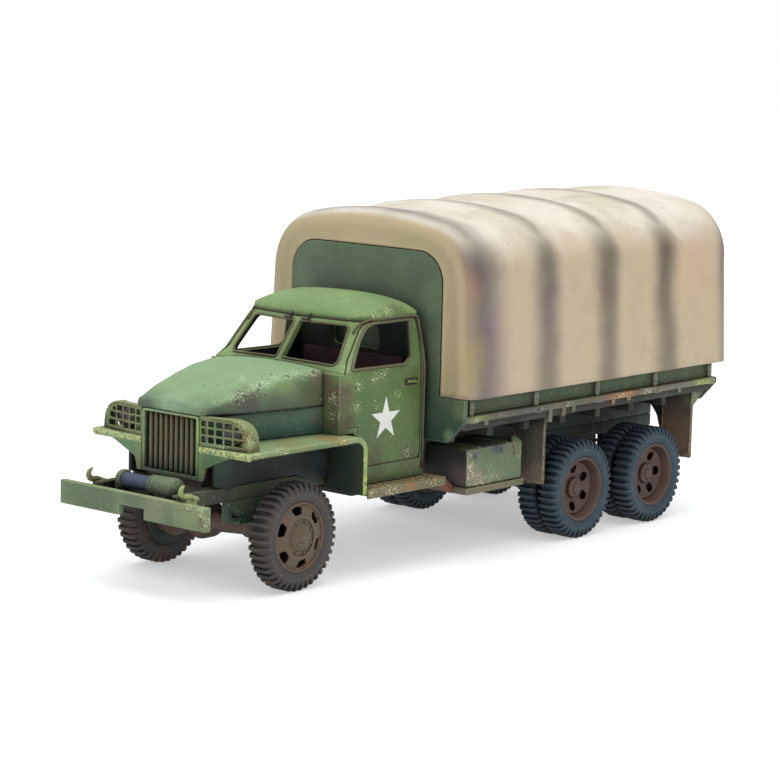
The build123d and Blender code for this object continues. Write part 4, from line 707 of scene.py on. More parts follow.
front_x, rear_x = canopy_high.x, canopy_low.x
rows = []
for i in range(5):
    angle = math.pi / 2 * i / 4
    rows.append(both_sides(rear_x + rear_round * (1 - math.sin(angle)),
        cover_half(rear_x, rear_round * (1 - math.cos(angle)), 0.1)))
rows = rows[::-1]
station_count = 118
fold_share = 0.95
for i in range(1, station_count):
    place = rear_x + rear_round + (front_x - front_round - rear_x - rear_round) * i / station_count
    row = both_sides(place, cover_half(place, 0.0, sag * slack(place)))
    for point in row:
        if point.z > 38 and abs(point.y) > 9:
            point += Vector((0, math.copysign(0.55, point.y), 0.55)) * drawn_folds(point) * fold_share
            point.y = max(-bottom_half, min(bottom_half, point.y))
    rows.append(row)
for i in range(9):
    angle = math.pi / 2 * i / 8
    rows.append(both_sides(front_x - front_round * (1 - math.sin(angle)),
        cover_half(front_x - front_round, front_round * (1 - math.cos(angle)), 0.05)))
face_edge = rows[-1]
opening_row = both_sides(front_x, opening_half_line(0.0))
# columns: how far from the opening towards the face's outer edge, how far the lip stands forward
for share, stand in ((0.75, 0), (0.5, 0), (0.28, 0), (0.2, 0.02), (0.16, 0.1), (0.1, 0.16), (0.04, 0.1)):
    rows.append([inner.lerp(outer, share) + Vector((stand - 0.16, 0, 0))
        for inner, outer in zip(opening_row, face_edge)])
rows.append(both_sides(front_x - 0.25, opening_half_line(0.0)))
rows.append(both_sides(front_x - skin, opening_half_line(0.0)))
rows.append([inner.lerp(outer, 0.5) for inner, outer in zip(both_sides(front_x - skin,
    opening_half_line(0.0)), both_sides(front_x - skin, cover_half(front_x - front_round,
    front_round * 0.8 + skin, 0.0)))])
rows.append(both_sides(front_x - skin - 0.6, cover_half(front_x - front_round, front_round * 0.45 + skin,
    0.0)))
for i in range(27):
    place = front_x - skin - 2.4 + (rear_x + 0.5 - front_x + skin + 2.4) * i / 26
    rows.append(both_sides(place, cover_half(place, skin, sag * slack(place))))
rows.append(both_sides(rear_x + 0.15, cover_half(rear_x, skin - 0.25, 0.1)))
rows.append(both_sides(rear_x, cover_half(rear_x, skin - 0.6, 0.1)))


def skin_through(rows):
    """A closed mesh through rows of points in mm, the last row joined to the first and both sides
    filled. Rows and points may fall together."""
    work = bmesh.new()
    grid = [[work.verts.new(Vector(point) * MM) for point in row] for row in rows]
    for row, above in zip(grid, grid[1:] + grid[:1]):
        for left, right, upper_left, upper_right in zip(row, row[1:], above, above[1:]):
            work.faces.new((left, right, upper_right, upper_left))
    for column in (0, -1):
        work.faces.new([row[column] for row in grid])
    bmesh.ops.remove_doubles(work, verts=work.verts, dist=0.002 * MM)
    bmesh.ops.dissolve_degenerate(work, dist=0.001 * MM, edges=work.edges)
    return closed_mesh(work, "skin", 4)


cover_mesh = skin_through(rows)


def block(low, high, width=0.12):
    """A moulded bar between two opposite corners in mm, its edges rounded."""
    shape = bmesh.new()
    bmesh.ops.create_cube(shape, size=1.0)
    for corner in shape.verts:
        corner.co = [(min if place < 0 else max)(ends) * MM for place, ends in zip(corner.co, zip(low, high))]
    bmesh.ops.bevel(shape, geom=list(shape.edges), offset=width * MM, segments=2, profile=0.5, affect="EDGES")
    return smooth_mesh(shape, "block")


ledge_middle, ledge_low, ledge_top = 20.6, 28.3, 29.1
ledges = [block((rear_x + 1.5, side * ledge_middle - 1.15, ledge_low),
    (front_x - 1.6, side * ledge_middle + 1.0, ledge_top)) for side in (1, -1)]


def sprayed_cover(name):
    """Polystyrene under thin coats from an airbrush, which leaves soft bands with no edge and a matt,
    slightly grainy face like the dope on canvas. Its pale top is painted light from above, and its front face
    a painted shade."""
    tree, place, facing, ramp, sums, times, over, cloud, near, finished = paint_tools(name, False)
    along, _, height = add_node(tree, "ShaderNodeSeparateXYZ", Vector=place).outputs
    facing = add_node(tree, "ShaderNodeSeparateXYZ", Vector=facing).outputs
    patches = cloud(14.0, 2.0)
    mottle = cloud(4.0, 3.0, 0.6)
    grain = cloud(0.4, 2.0, 0.6)
    # painted light: faces that look up are paler, as if lit from above
    colour = over(ramp(facing["Z"], 0.15, 0.9), linear("#B8A990"), linear("#E4DDD0"))
    # painted shade: faces that look forward take the darker tone of the front face
    colour = over(ramp(facing["X"], 0.5, 0.95), colour, linear("#BBA984"))
    colour = over(ramp(patches, 0.4, 0.7, 0.0, 0.4), colour, linear("#B9A987"))
    colour = over(ramp(mottle, 0.45, 0.75, 0.0, 0.25), colour, linear("#A09583"))
    low_fade = ramp(height, 47.0 * MM, 54.5 * MM, 1.0, 0.0)
    wobble = times(sums("SUBTRACT", cloud(9.0, 2.0), 0.5), 3.2 * MM)
    wobbled = sums("ADD", along, wobble)
    olive = ramp(cloud(11.0, 1.0), 0.42, 0.62, 0.0, 0.4)
    shoulder = ramp(height, 34.0 * MM, 48.0 * MM, 0.8, 1.0)
    # columns: place of the band along the truck, half width in mm, colour, strength
    for band, half, code, strength in ((6.2, 5.6, "#503A4C", 1), (3.2, 5.8, "#7A666E", 0.65),
            (-10.6, 5.2, "#675658", 0.95), (-27, 5, "#62504E", 0.95), (-43.6, 5, "#60524A", 0.95),
            (-62.4, 4.8, "#6A5C62", 0.95)):
        gap = sums("ABSOLUTE", sums("SUBTRACT", wobbled, band * MM))
        on_side = times(times(ramp(gap, half * MM, 0.08 * half * MM), low_fade), shoulder)
        on_top = times(ramp(gap, 0.6 * half * MM, 0.0), ramp(height, 47.0 * MM, 53.5 * MM, 0.0, 0.62))
        tone = over(olive, linear(code), linear("#79785C"))
        colour = over(times(sums("MAXIMUM", on_side, on_top), strength), colour, tone)
    # soft tints from the airbrush: place, radius in mm, colour, strength
    for centre, radius, code, strength in (((9.8, 20.6, 33), 7, "#A59A5E", 0.6),
            ((9.8, 21.4, 44), 5, "#B08A66", 0.35), ((-52, 21.6, 44), 9, "#C79E84", 0.4),
            ((-18, 22, 50), 7, "#C8A088", 0.35), ((-34, 22, 51), 6, "#C8A088", 0.35),
            ((0, 22, 51), 5, "#C4A090", 0.35), ((9.8, -18, 46), 6, "#9A9470", 0.5)):
        tint = times(near(centre, radius, 0.1), ramp(mottle, 0.3, 0.6, 0.5, 1.0))
        colour = over(times(tint, strength), colour, linear(code))
    # the front face between the band and the opening stays plain, in the darker tones of a painted shade
    colour = over(times(ramp(facing["X"], 0.75, 0.98), 0.75), colour,
        over(ramp(patches, 0.4, 0.65), linear("#BCA988"), linear("#ADA17C")))
    specks = ramp(cloud(0.5, 1.0), 0.69, 0.72)
    near_edge = ramp(height, 29.5 * MM, 27.0 * MM, 0.0, 1.0)
    blots = ramp(cloud(9.0, 1.0), 0.52, 0.6)
    rust = times(times(specks, near_edge), blots)
    colour = over(rust, colour, linear("#6A3A26"))
    return finished(colour, ramp(mottle, 0.3, 0.7, 0.58, 0.74), 0.3, 0.2, grain)


canopy_paint = sprayed_cover("sprayed_khaki_canopy_paint")
add_piece("canopy_cover_moulding", [cover_mesh] + ledges, canopy_paint, "canopy", slot="canopy_cloth_paint")

# ---- cab shell
# The closed cab is one hollow moulding with a V windscreen and thick pillars, glued to the rails. It
# is airbrushed green, lighter towards the top, partly as painted light from above, then sponged with pale
# and dark chips. Faces that look into the cab are darkened as painted shade.
body_paint = painted_plastic("airbrushed_green_body_paint", "#516A3E", "#84A069", "#1F362B", "#6B4A3E",
    "#A9BB86", wash_share=0.4, rim_share=0.55, chips=0.1, chip_colour="#D3D9A6", dark_chip="#34343A",
    up_light=0.8, inside=((19, 0, 29), "#131B1B"), clusters=(((29.6, 13.2, 33.4), 1.7), ((28.5, 13.4, 36), 2),
    ((27.4, 13.2, 38.4), 1.9), ((25.6, 12.8, 40.4), 1.8), ((20.6, 13.7, 31.3), 2.2),
    ((22.6, 13.7, 30.6), 1.5), ((26.4, 13.8, 29.6), 1.9), ((26.6, 13.8, 26.4), 1.6), ((21.8, 12.7, 41), 2.4),
    ((18.6, 12.8, 40.8), 2), ((17.2, 13.7, 27.6), 1.3), ((22, 13.7, 26.4), 1.3), ((30.3, 12.2, 28.2), 2.4),
    ((30.4, 12.6, 25.2), 1.6), ((27.4, 13.8, 18.5), 2.4), ((25, 9, 41.8), 1.8), ((14.4, 13.6, 18), 1.6)),
    spots=(((30, 12.6, 28.6), 3.6, "#5A4440", 0.95), ((29.6, 12.9, 24.4), 3.4, "#4A4238", 0.85),
    ((30.8, 10.4, 31), 2.4, "#5E4A44", 0.8), ((22, 13.8, 17.6), 3.4, "#4A3C3C", 0.6),
    ((14, 13.8, 17.6), 3, "#4A4440", 0.5), ((14, 13.8, 24), 4, "#63754A", 0.6),
    ((20, 12.8, 41.4), 1.6, "#4A4640", 0.5), ((16, 12.6, 41), 2.6, "#4C5A34", 0.7),
    ((22.6, 12.4, 41.2), 1.5, "#44403A", 0.7), ((24, 13.8, 22), 4.5, "#4E6448", 0.5)))


def rounded(corners, count=5):
    """A closed line through corners given as (u, v, radius), with each corner rounded."""
    line = []
    for i, (u, v, radius) in enumerate(corners):
        here = Vector((u, v))
        before = Vector(corners[i - 1][:2]) - here
        after = Vector(corners[(i + 1) % len(corners)][:2]) - here
        if radius <= 0:
            line.append(tuple(here))
            continue
        half = before.angle(after) / 2
        run = min(radius / math.tan(half), 0.49 * before.length, 0.49 * after.length)
        middle = (before.normalized() + after.normalized()).normalized()
        reach = run * math.tan(half)
        centre = here + middle * math.hypot(run, reach)
        start = here + before.normalized() * run - centre
        end = here + after.normalized() * run - centre
        sweep = start.angle_signed(end)
        for step in range(count + 1):
            turn = Matrix.Rotation(-sweep * step / count, 2)
            line.append(tuple(centre + turn @ start))
    return line


def plate(outlines, thickness, rim, place, cuts=(), rim_steps=1):
    """A flat plate with rounded rims, its first outline solid and the others holes in it. Sizes are
    in mm, and place turns (u, v, depth) into a position. Cuts add a line of points along u or v."""
    curve = bpy.data.curves.new("plate", "CURVE")
    curve.dimensions = "2D"
    curve.fill_mode = "BOTH"
    curve.extrude = thickness / 2 - rim
    curve.bevel_depth = rim
    curve.bevel_resolution = rim_steps
    curve.offset = -rim
    for number, outline in enumerate(outlines):
        area = sum(a[0] * b[1] - b[0] * a[1] for a, b in zip(outline, outline[1:] + outline[:1]))
        if (area > 0) == (number > 0):
            outline = outline[::-1]
        spline = curve.splines.new("POLY")
        spline.points.add(len(outline) - 1)
        for point, (u, v) in zip(spline.points, outline):
            point.co = (u, v, 0, 1)
        spline.use_cyclic_u = True
    holder = bpy.data.objects.new("plate", curve)
    scene.collection.objects.link(holder)
    mesh = bpy.data.meshes.new_from_object(holder.evaluated_get(bpy.context.evaluated_depsgraph_get()))
    bpy.data.objects.remove(holder)
    work = bmesh.new()
    work.from_mesh(mesh)
    bmesh.ops.remove_doubles(work, verts=work.verts, dist=0.002)
    for axis, value in cuts:
        normal = (1, 0, 0) if axis == "u" else (0, 1, 0)
        spot = (value, 0, 0) if axis == "u" else (0, value, 0)
        bmesh.ops.bisect_plane(work, geom=work.verts[:] + work.edges[:] + work.faces[:], plane_co=spot,
            plane_no=normal, dist=0.0001)
    for vert in work.verts:
        vert.co = Vector(place(*vert.co)) * MM
    bmesh.ops.recalc_face_normals(work, faces=work.faces)
    for face in work.faces:
        face.smooth = True
    for edge in work.edges:
        if len(edge.link_faces) == 2 and edge.calc_face_angle(0) > math.radians(50):
            edge.smooth = False
    work.to_mesh(mesh)
    work.free()
    return mesh


def bead(points, radius, closed=False, sides=8, squash=1.0):
    """A round bead or wire along points in mm, its ends closed. Squash flattens it sideways."""
    path = [Vector(point) for point in points]
    count = len(path)
    rings = []
    side = None
    for i, here in enumerate(path):
        before = path[i - 1] if (i or closed) else here
        after = path[(i + 1) % count] if (i < count - 1 or closed) else here
        along = (after - before).normalized()
        if side is None:
            side = along.orthogonal().normalized()
        side = (side - along * side.dot(along)).normalized()
        other = along.cross(side)
        rings.append([(here + side * radius * squash * math.cos(2 * math.pi * k / sides) + other * radius
            * math.sin(2 * math.pi * k / sides)) * MM for k in range(sides)])
    if not closed:
        return lofted(rings)
    start = rings[0]
    last_side = rings[-1][0]
    shift = min(range(sides), key=lambda k: (start[k] - last_side).length)
    rings.append(start[shift:] + start[:shift])
    mesh = lofted(rings, closed_ends=False)
    work = bmesh.new()
    work.from_mesh(mesh)
    bmesh.ops.remove_doubles(work, verts=work.verts, dist=0.0005 * MM)
    bmesh.ops.recalc_face_normals(work, faces=work.faces)
    work.to_mesh(mesh)
    work.free()
    return mesh


shell_low, shell_high = box_mm("cab_shell")
cab_half, cab_rear = shell_high.y, shell_low.x
belt_z, eaves_z = 31.7, 39.4
screen_foot, screen_rake, screen_sweep = 29.4, 0.75, 1.5
side_taper = 0.129          # inwards for each mm of height


def eased(value, low, high):
    """A smooth step from 0 to 1 between two values."""
    share = max(0.0, min(1.0, (value - low) / (high - low)))
    return share * share * (3 - 2 * share)


def storey(v):
    """The window storey at a height: half width, windscreen foot, corner radius and arc centre."""
    rise = max(0.0, v - belt_z)
    half, foot = cab_half - side_taper * rise, screen_foot - screen_rake * rise
    radius = 1.5 + 2.0 * min(1.2, rise / 7.6)
    centre_y = half - radius
    return half, foot, radius, foot + screen_sweep * (1 - centre_y / half) - radius, centre_y


def cab_place(lift=0.0):
    """Puts a drawing on the cab: u runs from the middle of the V windscreen round its corner and
    back along the side, v is the height, and lift stands off the surface."""
    def place(u, v, w=0.0):
        half, foot, radius, centre_x, centre_y = storey(v)
        side, u, w = (1 if u >= 0 else -1), abs(u), w + lift
        turn = (u - centre_y) / radius
        if u <= centre_y:
            spot = Vector((foot + screen_sweep * (1 - u / half) + w, u, v + 0.4 * w))
        elif turn <= math.pi / 2:
            spot = Vector((centre_x + (radius + w) * math.cos(turn), centre_y + (radius + w) * math.sin(turn),
                v + 0.4 * w * math.cos(turn)))
        else:
            spot = Vector((centre_x - radius * (turn - math.pi / 2), half + w, v))
        flat = Vector((centre_x - radius * (turn - math.pi / 2), half + w, v))
        spot = spot.lerp(flat, eased(-v, -33.6, -belt_z) * eased(u, 11.5, 12.8))
        return (spot.x, side * spot.y, spot.z)
    return place


def along(x, v):
    """The drawing's u of a place along the cab's side at a height."""
    _, _, radius, centre_x, centre_y = storey(v)
    return centre_y + radius * math.pi / 2 + centre_x - x


def both_ways(line):
    """A line of (u, v) from the middle outwards, continued back along the other side."""
    return line + [(-u, v) for u, v in reversed(line)]


def rear_line(v):
    return cab_rear + 0.16 * max(0.0, v - belt_z)


# the lower half keeps its moulded shape, cut off level at the belt
lower = softened("cab_shell", "cab_lower_moulding", body_paint, 0.3, 3, 22.0)
work = bmesh.new()
work.from_mesh(lower.data)
bmesh.ops.bisect_plane(work, geom=work.verts[:] + work.edges[:] + work.faces[:], dist=1e-06,
    plane_co=(0, 0, (belt_z + 0.02) * MM), plane_no=(0, 0, 1), clear_outer=True)
rim = [edge for edge in work.edges if len(edge.link_faces) == 1]
bmesh.ops.triangle_fill(work, use_beauty=True, use_dissolve=False, edges=rim)
bmesh.ops.recalc_face_normals(work, faces=work.faces)
work.to_mesh(lower.data)
work.free()

# seam between the door and the pillar, from the belt up and back along the eaves
door_edge = [(12.75, 31.7), (12.65, 32.4), (12.4, 33.8), (12.2, 35.3), (11.95, 36.8), (11.78, 37.9),
    (11.95, 38.6), (12.5, 39.05), (13.6, 39.22), (along(19.0, 39.22), 39.22), (along(13.0, 39.22), 39.22),
    (along(12.3, 39.05), 39.05), (along(12.05, 38.5), 38.5), (along(11.8, 36.5), 36.5),
    (along(11.65, 34.0), 34.0), (along(11.6, 31.7), 31.7)]
rear_edge_line = [(along(rear_line(v), v), v) for v in (31.7, 34.0, 36.5, eaves_z)]
frame_line = both_ways(door_edge + rear_edge_line)
pane_corners = ((0.55, 33.0, 0.35), (11.3, 32.65, 0.9), (9.95, 38.45, 0.9), (0.55, 38.45, 0.35))
pane_line = rounded(pane_corners)
other_pane = [(-u, v) for u, v in pane_line]
wrap_cuts = tuple([("v", belt_z + 0.35 * i) for i in range(1, 22)]
    + [("u", side * 1.1 * i) for i in range(1, 19) for side in (1, -1)] + [("u", 0)])
storey_mesh = plate([frame_line, pane_line, other_pane], 0.85, 0.13, cab_place(-0.42), wrap_cuts)
back_wall = [(-1, 31.72, 0.2), (1, 31.72, 0.2), (1, 39.3, 0.4), (-1, 39.3, 0.4)]
back_line = rounded([(side * (cab_half - 1.0 - side_taper * (v - belt_z)), v, r) for side, v, r in back_wall])
rear_window = rounded(((-5.0, 33.2, 0.9), (5.0, 33.2, 0.9), (5.0, 37.0, 0.9), (-5.0, 37.0, 0.9)))
back_mesh = plate([back_line, rear_window], 0.8, 0.12, lambda u, v, w: (rear_line(v) + 0.45 + w, u, v))
cab_piece = join_meshes("cab_shell_moulding", [lower.data, storey_mesh, back_mesh], body_paint)
bpy.data.objects.remove(lower)
finish_piece(cab_piece, "chassis", "body_green", "cab_shell")

# ---- doors
# Each door is a thin panel let into the cab side, with a raised khaki lip round its open window. It
# is glued shut, so its hinges and handle are only raised details with brown paint in the gaps.
window_line = rounded(((14, 32.2, 0.5), (13.3, 34.4, 0), (12.75, 36.4, 3), (12.6, 38.9, 2.2),
    (along(13.85, 38.95), 38.95, 0.9), (along(13.9, 32.05), 32.05, 0.7)), 7)
lower_door = [(along(11.6, 17.4), 17.4), (along(12.1, 16.9), 16.9), (along(26.35, 16.9), 16.9),
    (along(26.35, 23.3), 23.3), (along(29.9, 23.3), 23.3), (along(29.9, 30.5), 30.5)]
door_middle = 18.5
door_line = [(u - math.copysign(min(0.1, abs(u - door_middle)), u - door_middle), v - (0.1 if v > 38 else 0))
    for u, v in door_edge] + lower_door
trim_paint = painted_plastic("brown_lined_trim_paint", "#5C5C42", "#7C7C58", "#2B241E", "#5E3A2A", "#A8A27E",
    wash_share=0.9, rim_share=0.4, up_light=0.3, wear_width=0.15)
seam_paint = painted_plastic("red_brown_seam_paint", "#40302A", "#54402F", "#201A16", "#2E241C", "#6E5640",
    wash_share=0.6, rim_share=0.25, up_light=0.2, wear_width=0.1)
door_cuts = tuple([("v", belt_z + 0.35 * i) for i in range(22)] + [("u", 11.9 + 0.3 * i) for i in range(10)]
    + [("v", 19), ("v", 28), ("u", 20), ("u", 25)])
for side_name, side in (("left", 1), ("right", -1)):
    turn = (lambda place: place) if side == 1 else (lambda place: lambda u, v, w=0.0: place(-u, v, w))
    panel = plate([door_line, window_line], 0.8, 0.1, turn(cab_place(-0.38)), door_cuts)
    surface = turn(cab_place(0.0))
    handle_spot = along(15.4, 29.2)
    hinge_spot = along(26.9, 20.0)
    pieces = [panel]
    pieces.append(bead([surface(handle_spot + 0.2, 29.3, 0.1), surface(handle_spot + 0.3, 29.3, 0.36),
        surface(handle_spot + 1.0, 29.26, 0.42), surface(handle_spot + 2.2, 29.14, 0.4),
        surface(handle_spot + 2.6, 29.06, 0.34)], 0.2))
    for height in (19.0, 21.6):
        pieces.append(bead([surface(hinge_spot, height - 0.45, 0.04),
            surface(hinge_spot, height + 0.45, 0.04)], 0.2, sides=10))
    add_piece(f"door_{side_name}_panel", pieces, body_paint, f"door_{side_name}")
    lip = bead([surface(u, v, 0.03) for u, v in window_line], 0.27, True)
    recess = rounded(((handle_spot - 0.2, 28.7, 0.25), (handle_spot + 2.9, 28.7, 0.25),
        (handle_spot + 2.9, 29.8, 0.25), (handle_spot - 0.2, 29.8, 0.25)), 3)
    ring = rounded(((handle_spot, 28.88, 0.2), (handle_spot + 2.7, 28.88, 0.2),
        (handle_spot + 2.7, 29.62, 0.2), (handle_spot, 29.62, 0.2)), 3)
    recess_mesh = plate([recess, ring], 0.14, 0.05, turn(cab_place(0.04)))
    seam = [surface(u, v, -0.02) for u, v in door_edge]
    seam += [surface(along(11.55, v), v, -0.02) for v in (28.0, 22.0, 17.2)]
    seam_mesh = bead(seam, 0.12, sides=6)
    bottom_seam = bead([surface(along(x, 16.82), 16.82, -0.04) for x in (11.6, 16, 21, 26.4)], 0.1, sides=6)
    front_seam = bead([surface(along(29.98, v), v, -0.04) for v in (23.2, 26.0, 29.0, 31.6)], 0.1, sides=6)
    add_piece(f"door_{side_name}_window_lip", [lip], trim_paint)
    add_piece(f"door_{side_name}_seams", [seam_mesh, recess_mesh, bottom_seam, front_seam], seam_paint)

# windscreen: a raised lip round each pane and a wiper hanging from the header over each
pane_lips = [bead([cab_place(0.02)(u, v) for u, v in line], 0.2, True) for line in (pane_line, other_pane)]
add_piece("windscreen_lips", pane_lips, trim_paint)
wipers = []
on_screen = cab_place(0.25)
for start in (2.3, -1.5):
    wipers.append(bead([on_screen(start, 39.9), on_screen(start - 0.1, 39.3), on_screen(start - 0.3, 38.6)],
        0.16, sides=6))
    wipers.append(bead([on_screen(start - 1.5, 38.75), on_screen(start - 0.3, 38.6),
        on_screen(start + 0.5, 38.5)], 0.12, sides=6))
header_line = bead([cab_place(0.05)(u * 1.15, 39.15) for u in range(-10, 11)], 0.12, sides=6)
add_piece("wipers_and_header_line", wipers + [header_line], seam_paint, slot="dark_metal_paint")

# ---- cab roof
# One domed moulding, crowned both ways and rolled down to the windscreen. Its front corner above
# the driver's door is worn through to dark and yellow spots.
roof_crown, roof_base = box_mm("cab_roof")[1].z, eaves_z - 0.15
roof_half = storey(roof_base)[0] + 0.12
roof_front = storey(roof_base)[1] + screen_sweep + 0.15
roof_rear = rear_line(roof_base) - 0.15
roof_rim, roof_wall = 0.3, 0.75


def roof_height(x, y):
    """The dome's height, which falls steeply at its front and sides and gently to the rear."""
    front_line = roof_front - screen_sweep * abs(y) / roof_half
    front = min(1.0, max(0.0, (front_line - x) / 7.5))
    side = min(1.0, max(0.0, (roof_half - abs(y)) / roof_half))
    rear = min(1.0, max(0.0, (x - roof_rear) / 1.2))
    rise = (1 - (1 - front) ** 2) ** 0.66 * (1 - (1 - side) ** 2.2) ** 0.44 * (1 - (1 - rear) ** 2) ** 0.3
    back = max(0.0, (roof_front - 6.5 - x) / (roof_front - 6.5 - roof_rear))
    return roof_base + roof_rim + (roof_crown - roof_base - roof_rim - 0.8 * back ** 1.6) * rise


front_corner, rear_corner = 3.2, 0.9
flat_front = roof_front - screen_sweep
plan = rounded(((roof_rear, -roof_half, rear_corner), (flat_front, -roof_half, front_corner),
    (flat_front, roof_half, front_corner), (roof_rear, roof_half, rear_corner)), 9)
dense = []
for (ax, ay), (bx, by) in zip(plan, plan[1:] + plan[:1]):
    count = max(1, int(math.hypot(bx - ax, by - ay) / 0.8))
    dense += [(ax + (bx - ax) * i / count, ay + (by - ay) * i / count) for i in range(count)]
dense = [(x + screen_sweep * (1 - abs(y) / roof_half) * eased(x, flat_front - 4.0, flat_front), y)
    for x, y in dense]
middle_x = (roof_front + roof_rear) / 2 - 0.5


def roof_ring(scale, height):
    """The roof's outline drawn in towards its middle; height is a number or a rule."""
    ring = []
    for x, y in dense:
        px, py = middle_x + (x - middle_x) * scale, y * scale
        ring.append(Vector((px, py, height if isinstance(height, float) else height(px, py))) * MM)
    return ring


shares = [0.02 + 0.98 * (1 - (i / 20) ** 2.2) for i in range(21)][::-1]
outside = [roof_ring(share, roof_height) for share in shares]
inset = 1 - roof_wall / roof_half
edge = [roof_ring(1.0, roof_base + 0.1), roof_ring(0.994, roof_base), roof_ring(inset, roof_base)]
inside = [roof_ring(inset * share, lambda x, y: roof_height(x * 0.98 + 0.3, y * 0.97) - roof_wall)
    for share in (0.995, 0.95, 0.85, 0.6, 0.3, 0.05)]
roof_mesh = lofted(outside + edge + inside)
add_piece("cab_roof_dome", [roof_mesh], body_paint, "cab_roof")
# the rain gutter over each door, with brown paint run into it
gutters = []
for side in (1, -1):
    gutter = [cab_place(0.12)(side * u, v) for u, v in [(11.2, 37.4), (11.15, 38.3), (11.7, 39), (12.6, 39.4),
        (13.9, 39.55)] + [(along(x, 39.55), 39.55) for x in (19, 15.5, 13)]
        + [(along(12.0, 39.3), 39.3), (along(11.75, 38.6), 38.6), (along(11.45, 36.5), 36.5),
        (along(11.1, 34.0), 34.0), (along(10.95, 31.5), 31.5), (along(10.95, 24.0), 24.0),
        (along(10.95, 15.0), 15.0)]]
    gutters.append(bead(gutter, 0.2))
add_piece("rain_gutters", gutters, trim_paint)

# ---- door stars
# A plain five-pointed star on each door: white transfer film, thin and slightly worn at its tips.
star_centre, star_reach = (19.95, 23.85), 3.55
star_line = []
for i in range(10):
    angle = math.pi / 2 + math.pi * i / 5
    reach = star_reach if i % 2 == 0 else star_reach * 0.382
    star_line.append((along(star_centre[0] + reach * math.cos(angle), star_centre[1]),
        star_centre[1] + reach * math.sin(angle)))
star_film = painted_plastic("white_transfer_film", "#DADCD6", "#E8EAE4", "#A9AAA2", "#8D8D78", "#E2E4DC",
    wash_share=0.18, rim_share=0.1, chips=0.08, chip_colour="#6E7F5C", dark_chip="#5E6F50", up_light=0.2,
    wear_width=0.05)
for side_name, side in (("left", 1), ("right", -1)):
    drawn = star_line if side == 1 else [(-u, v) for u, v in star_line]
    film = plate([drawn], 0.06, 0.015, cab_place(0.04))
    add_piece(f"door_{side_name}_star", [film], star_film)

# ---- hood
# The hood is one thin moulding with round shoulders that rolls over at the nose. It is sprayed a
# pale green on top and darker below, partly as painted light and painted shade, with dense chips along
# its left shoulder.
hood_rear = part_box("hood")[0].x / MM
# the pale spots on the rolled nose are a painted highlight
hood_paint = painted_plastic("airbrushed_green_hood_paint", "#5E6E50", "#88A67C", "#26382F", "#6B4A3E",
    "#A9BD92", wash_share=0.25, rim_share=0.5, chips=0.02, chip_colour="#CDD9B4", dark_chip="#38363A",
    up_light=0.95, fade=("#4C5E4A", 30.6, 27.4), clusters=(((48.6, 8, 29.2), 1.8), ((46.8, 8.6, 29.6), 1.8),
    ((44.6, 8.4, 30.6), 1.9), ((42.4, 8.9, 30.9), 1.7), ((40.2, 8.4, 31.6), 2), ((37.8, 9, 31.9), 1.7),
    ((35.4, 9.4, 31.9), 2), ((33, 9.6, 31.9), 1.8), ((51, 6.9, 28.9), 1.3), ((44.2, 6, 32), 1.4)),
    spots=(((33.8, 10.6, 28.8), 4.6, "#4C5A3C", 0.95), ((38.8, 10.2, 31), 2.6, "#7C9656", 0.4),
    ((46, 9.2, 28.3), 4.2, "#4C4340", 0.75), ((41, 10.4, 27.8), 3, "#4E4A40", 0.5),
    ((31.8, 10.8, 31.2), 2.6, "#6A4F47", 0.7), ((31.5, 2, 33.4), 2.2, "#5E4C40", 0.5),
    ((53.7, 0, 27.6), 5, "#9AB894", 0.7), ((53.7, 4.6, 27.6), 3, "#8FA886", 0.6)))
# columns: place along the truck, half width, height of the side seam, of the shoulder, of the
# crown, width of the shoulder's rounding
hood_stations = ((53, 7.4, 27.1, 28.1, 28.7, 0.5), (51.8, 7.75, 27.1, 28.35, 29.4, 0.6),
    (50.3, 8.3, 27.1, 28.75, 30.3, 0.8), (48.4, 8.8, 27.05, 29.3, 31.2, 1.1),
    (46.5, 9.2, 27, 29.75, 31.95, 1.5), (43.6, 9.65, 26.95, 30.55, 32.8, 1.9),
    (40.2, 10, 26.9, 31.4, 33.4, 2.1), (36, 10.3, 26.8, 32.1, 33.3, 2), (31.2, 10.5, 26.72, 32.15, 32.7, 1.6))


def eased_line(line, count, width):
    """A line of points spread evenly, its corners rounded over a width in mm, its ends kept."""
    runs = [math.dist(a, b) for a, b in zip(line, line[1:])]
    total = sum(runs)
    spread = []
    for i in range(count + 1):
        target, reached = total * i / count, 0.0
        for (a, b), run in zip(zip(line, line[1:]), runs):
            if reached + run >= target - 1e-9 and run > 0:
                share = (target - reached) / run
                spread.append((a[0] + (b[0] - a[0]) * share, a[1] + (b[1] - a[1]) * share))
                break
            reached += run
    reach = max(1, round(width / (total / count) / 2))
    for _ in range(3):
        smooth = []
        for i in range(len(spread)):
            window = min(reach, i, len(spread) - 1 - i)
            nearby = spread[i - window:i + window + 1]
            smooth.append((sum(p[0] for p in nearby) / len(nearby), sum(p[1] for p in nearby) / len(nearby)))
        spread = smooth
    return spread


def hood_row(place, inset=0.0, drop=0.0):
    """The hood's section at a place, from its left lower edge over the crown to the right one."""
    half, seam, shoulder, crown, width = [between([(station[0], station[i]) for station in hood_stations],
        place) for i in range(1, 6)]
    half, shoulder, crown = half - inset, shoulder - drop, crown - drop
    line = [(half, seam), (half - 0.15, shoulder)]
    line += [(half * (1 - i / 12), shoulder + (crown - shoulder) * (1 - (1 - i / 12) ** 1.8))
        for i in range(1, 13)]
    line = eased_line(line, 44, 0.62 * width)
    return [(place, y, z) for y, z in line] + [(place, -y, z) for y, z in line[-2::-1]]


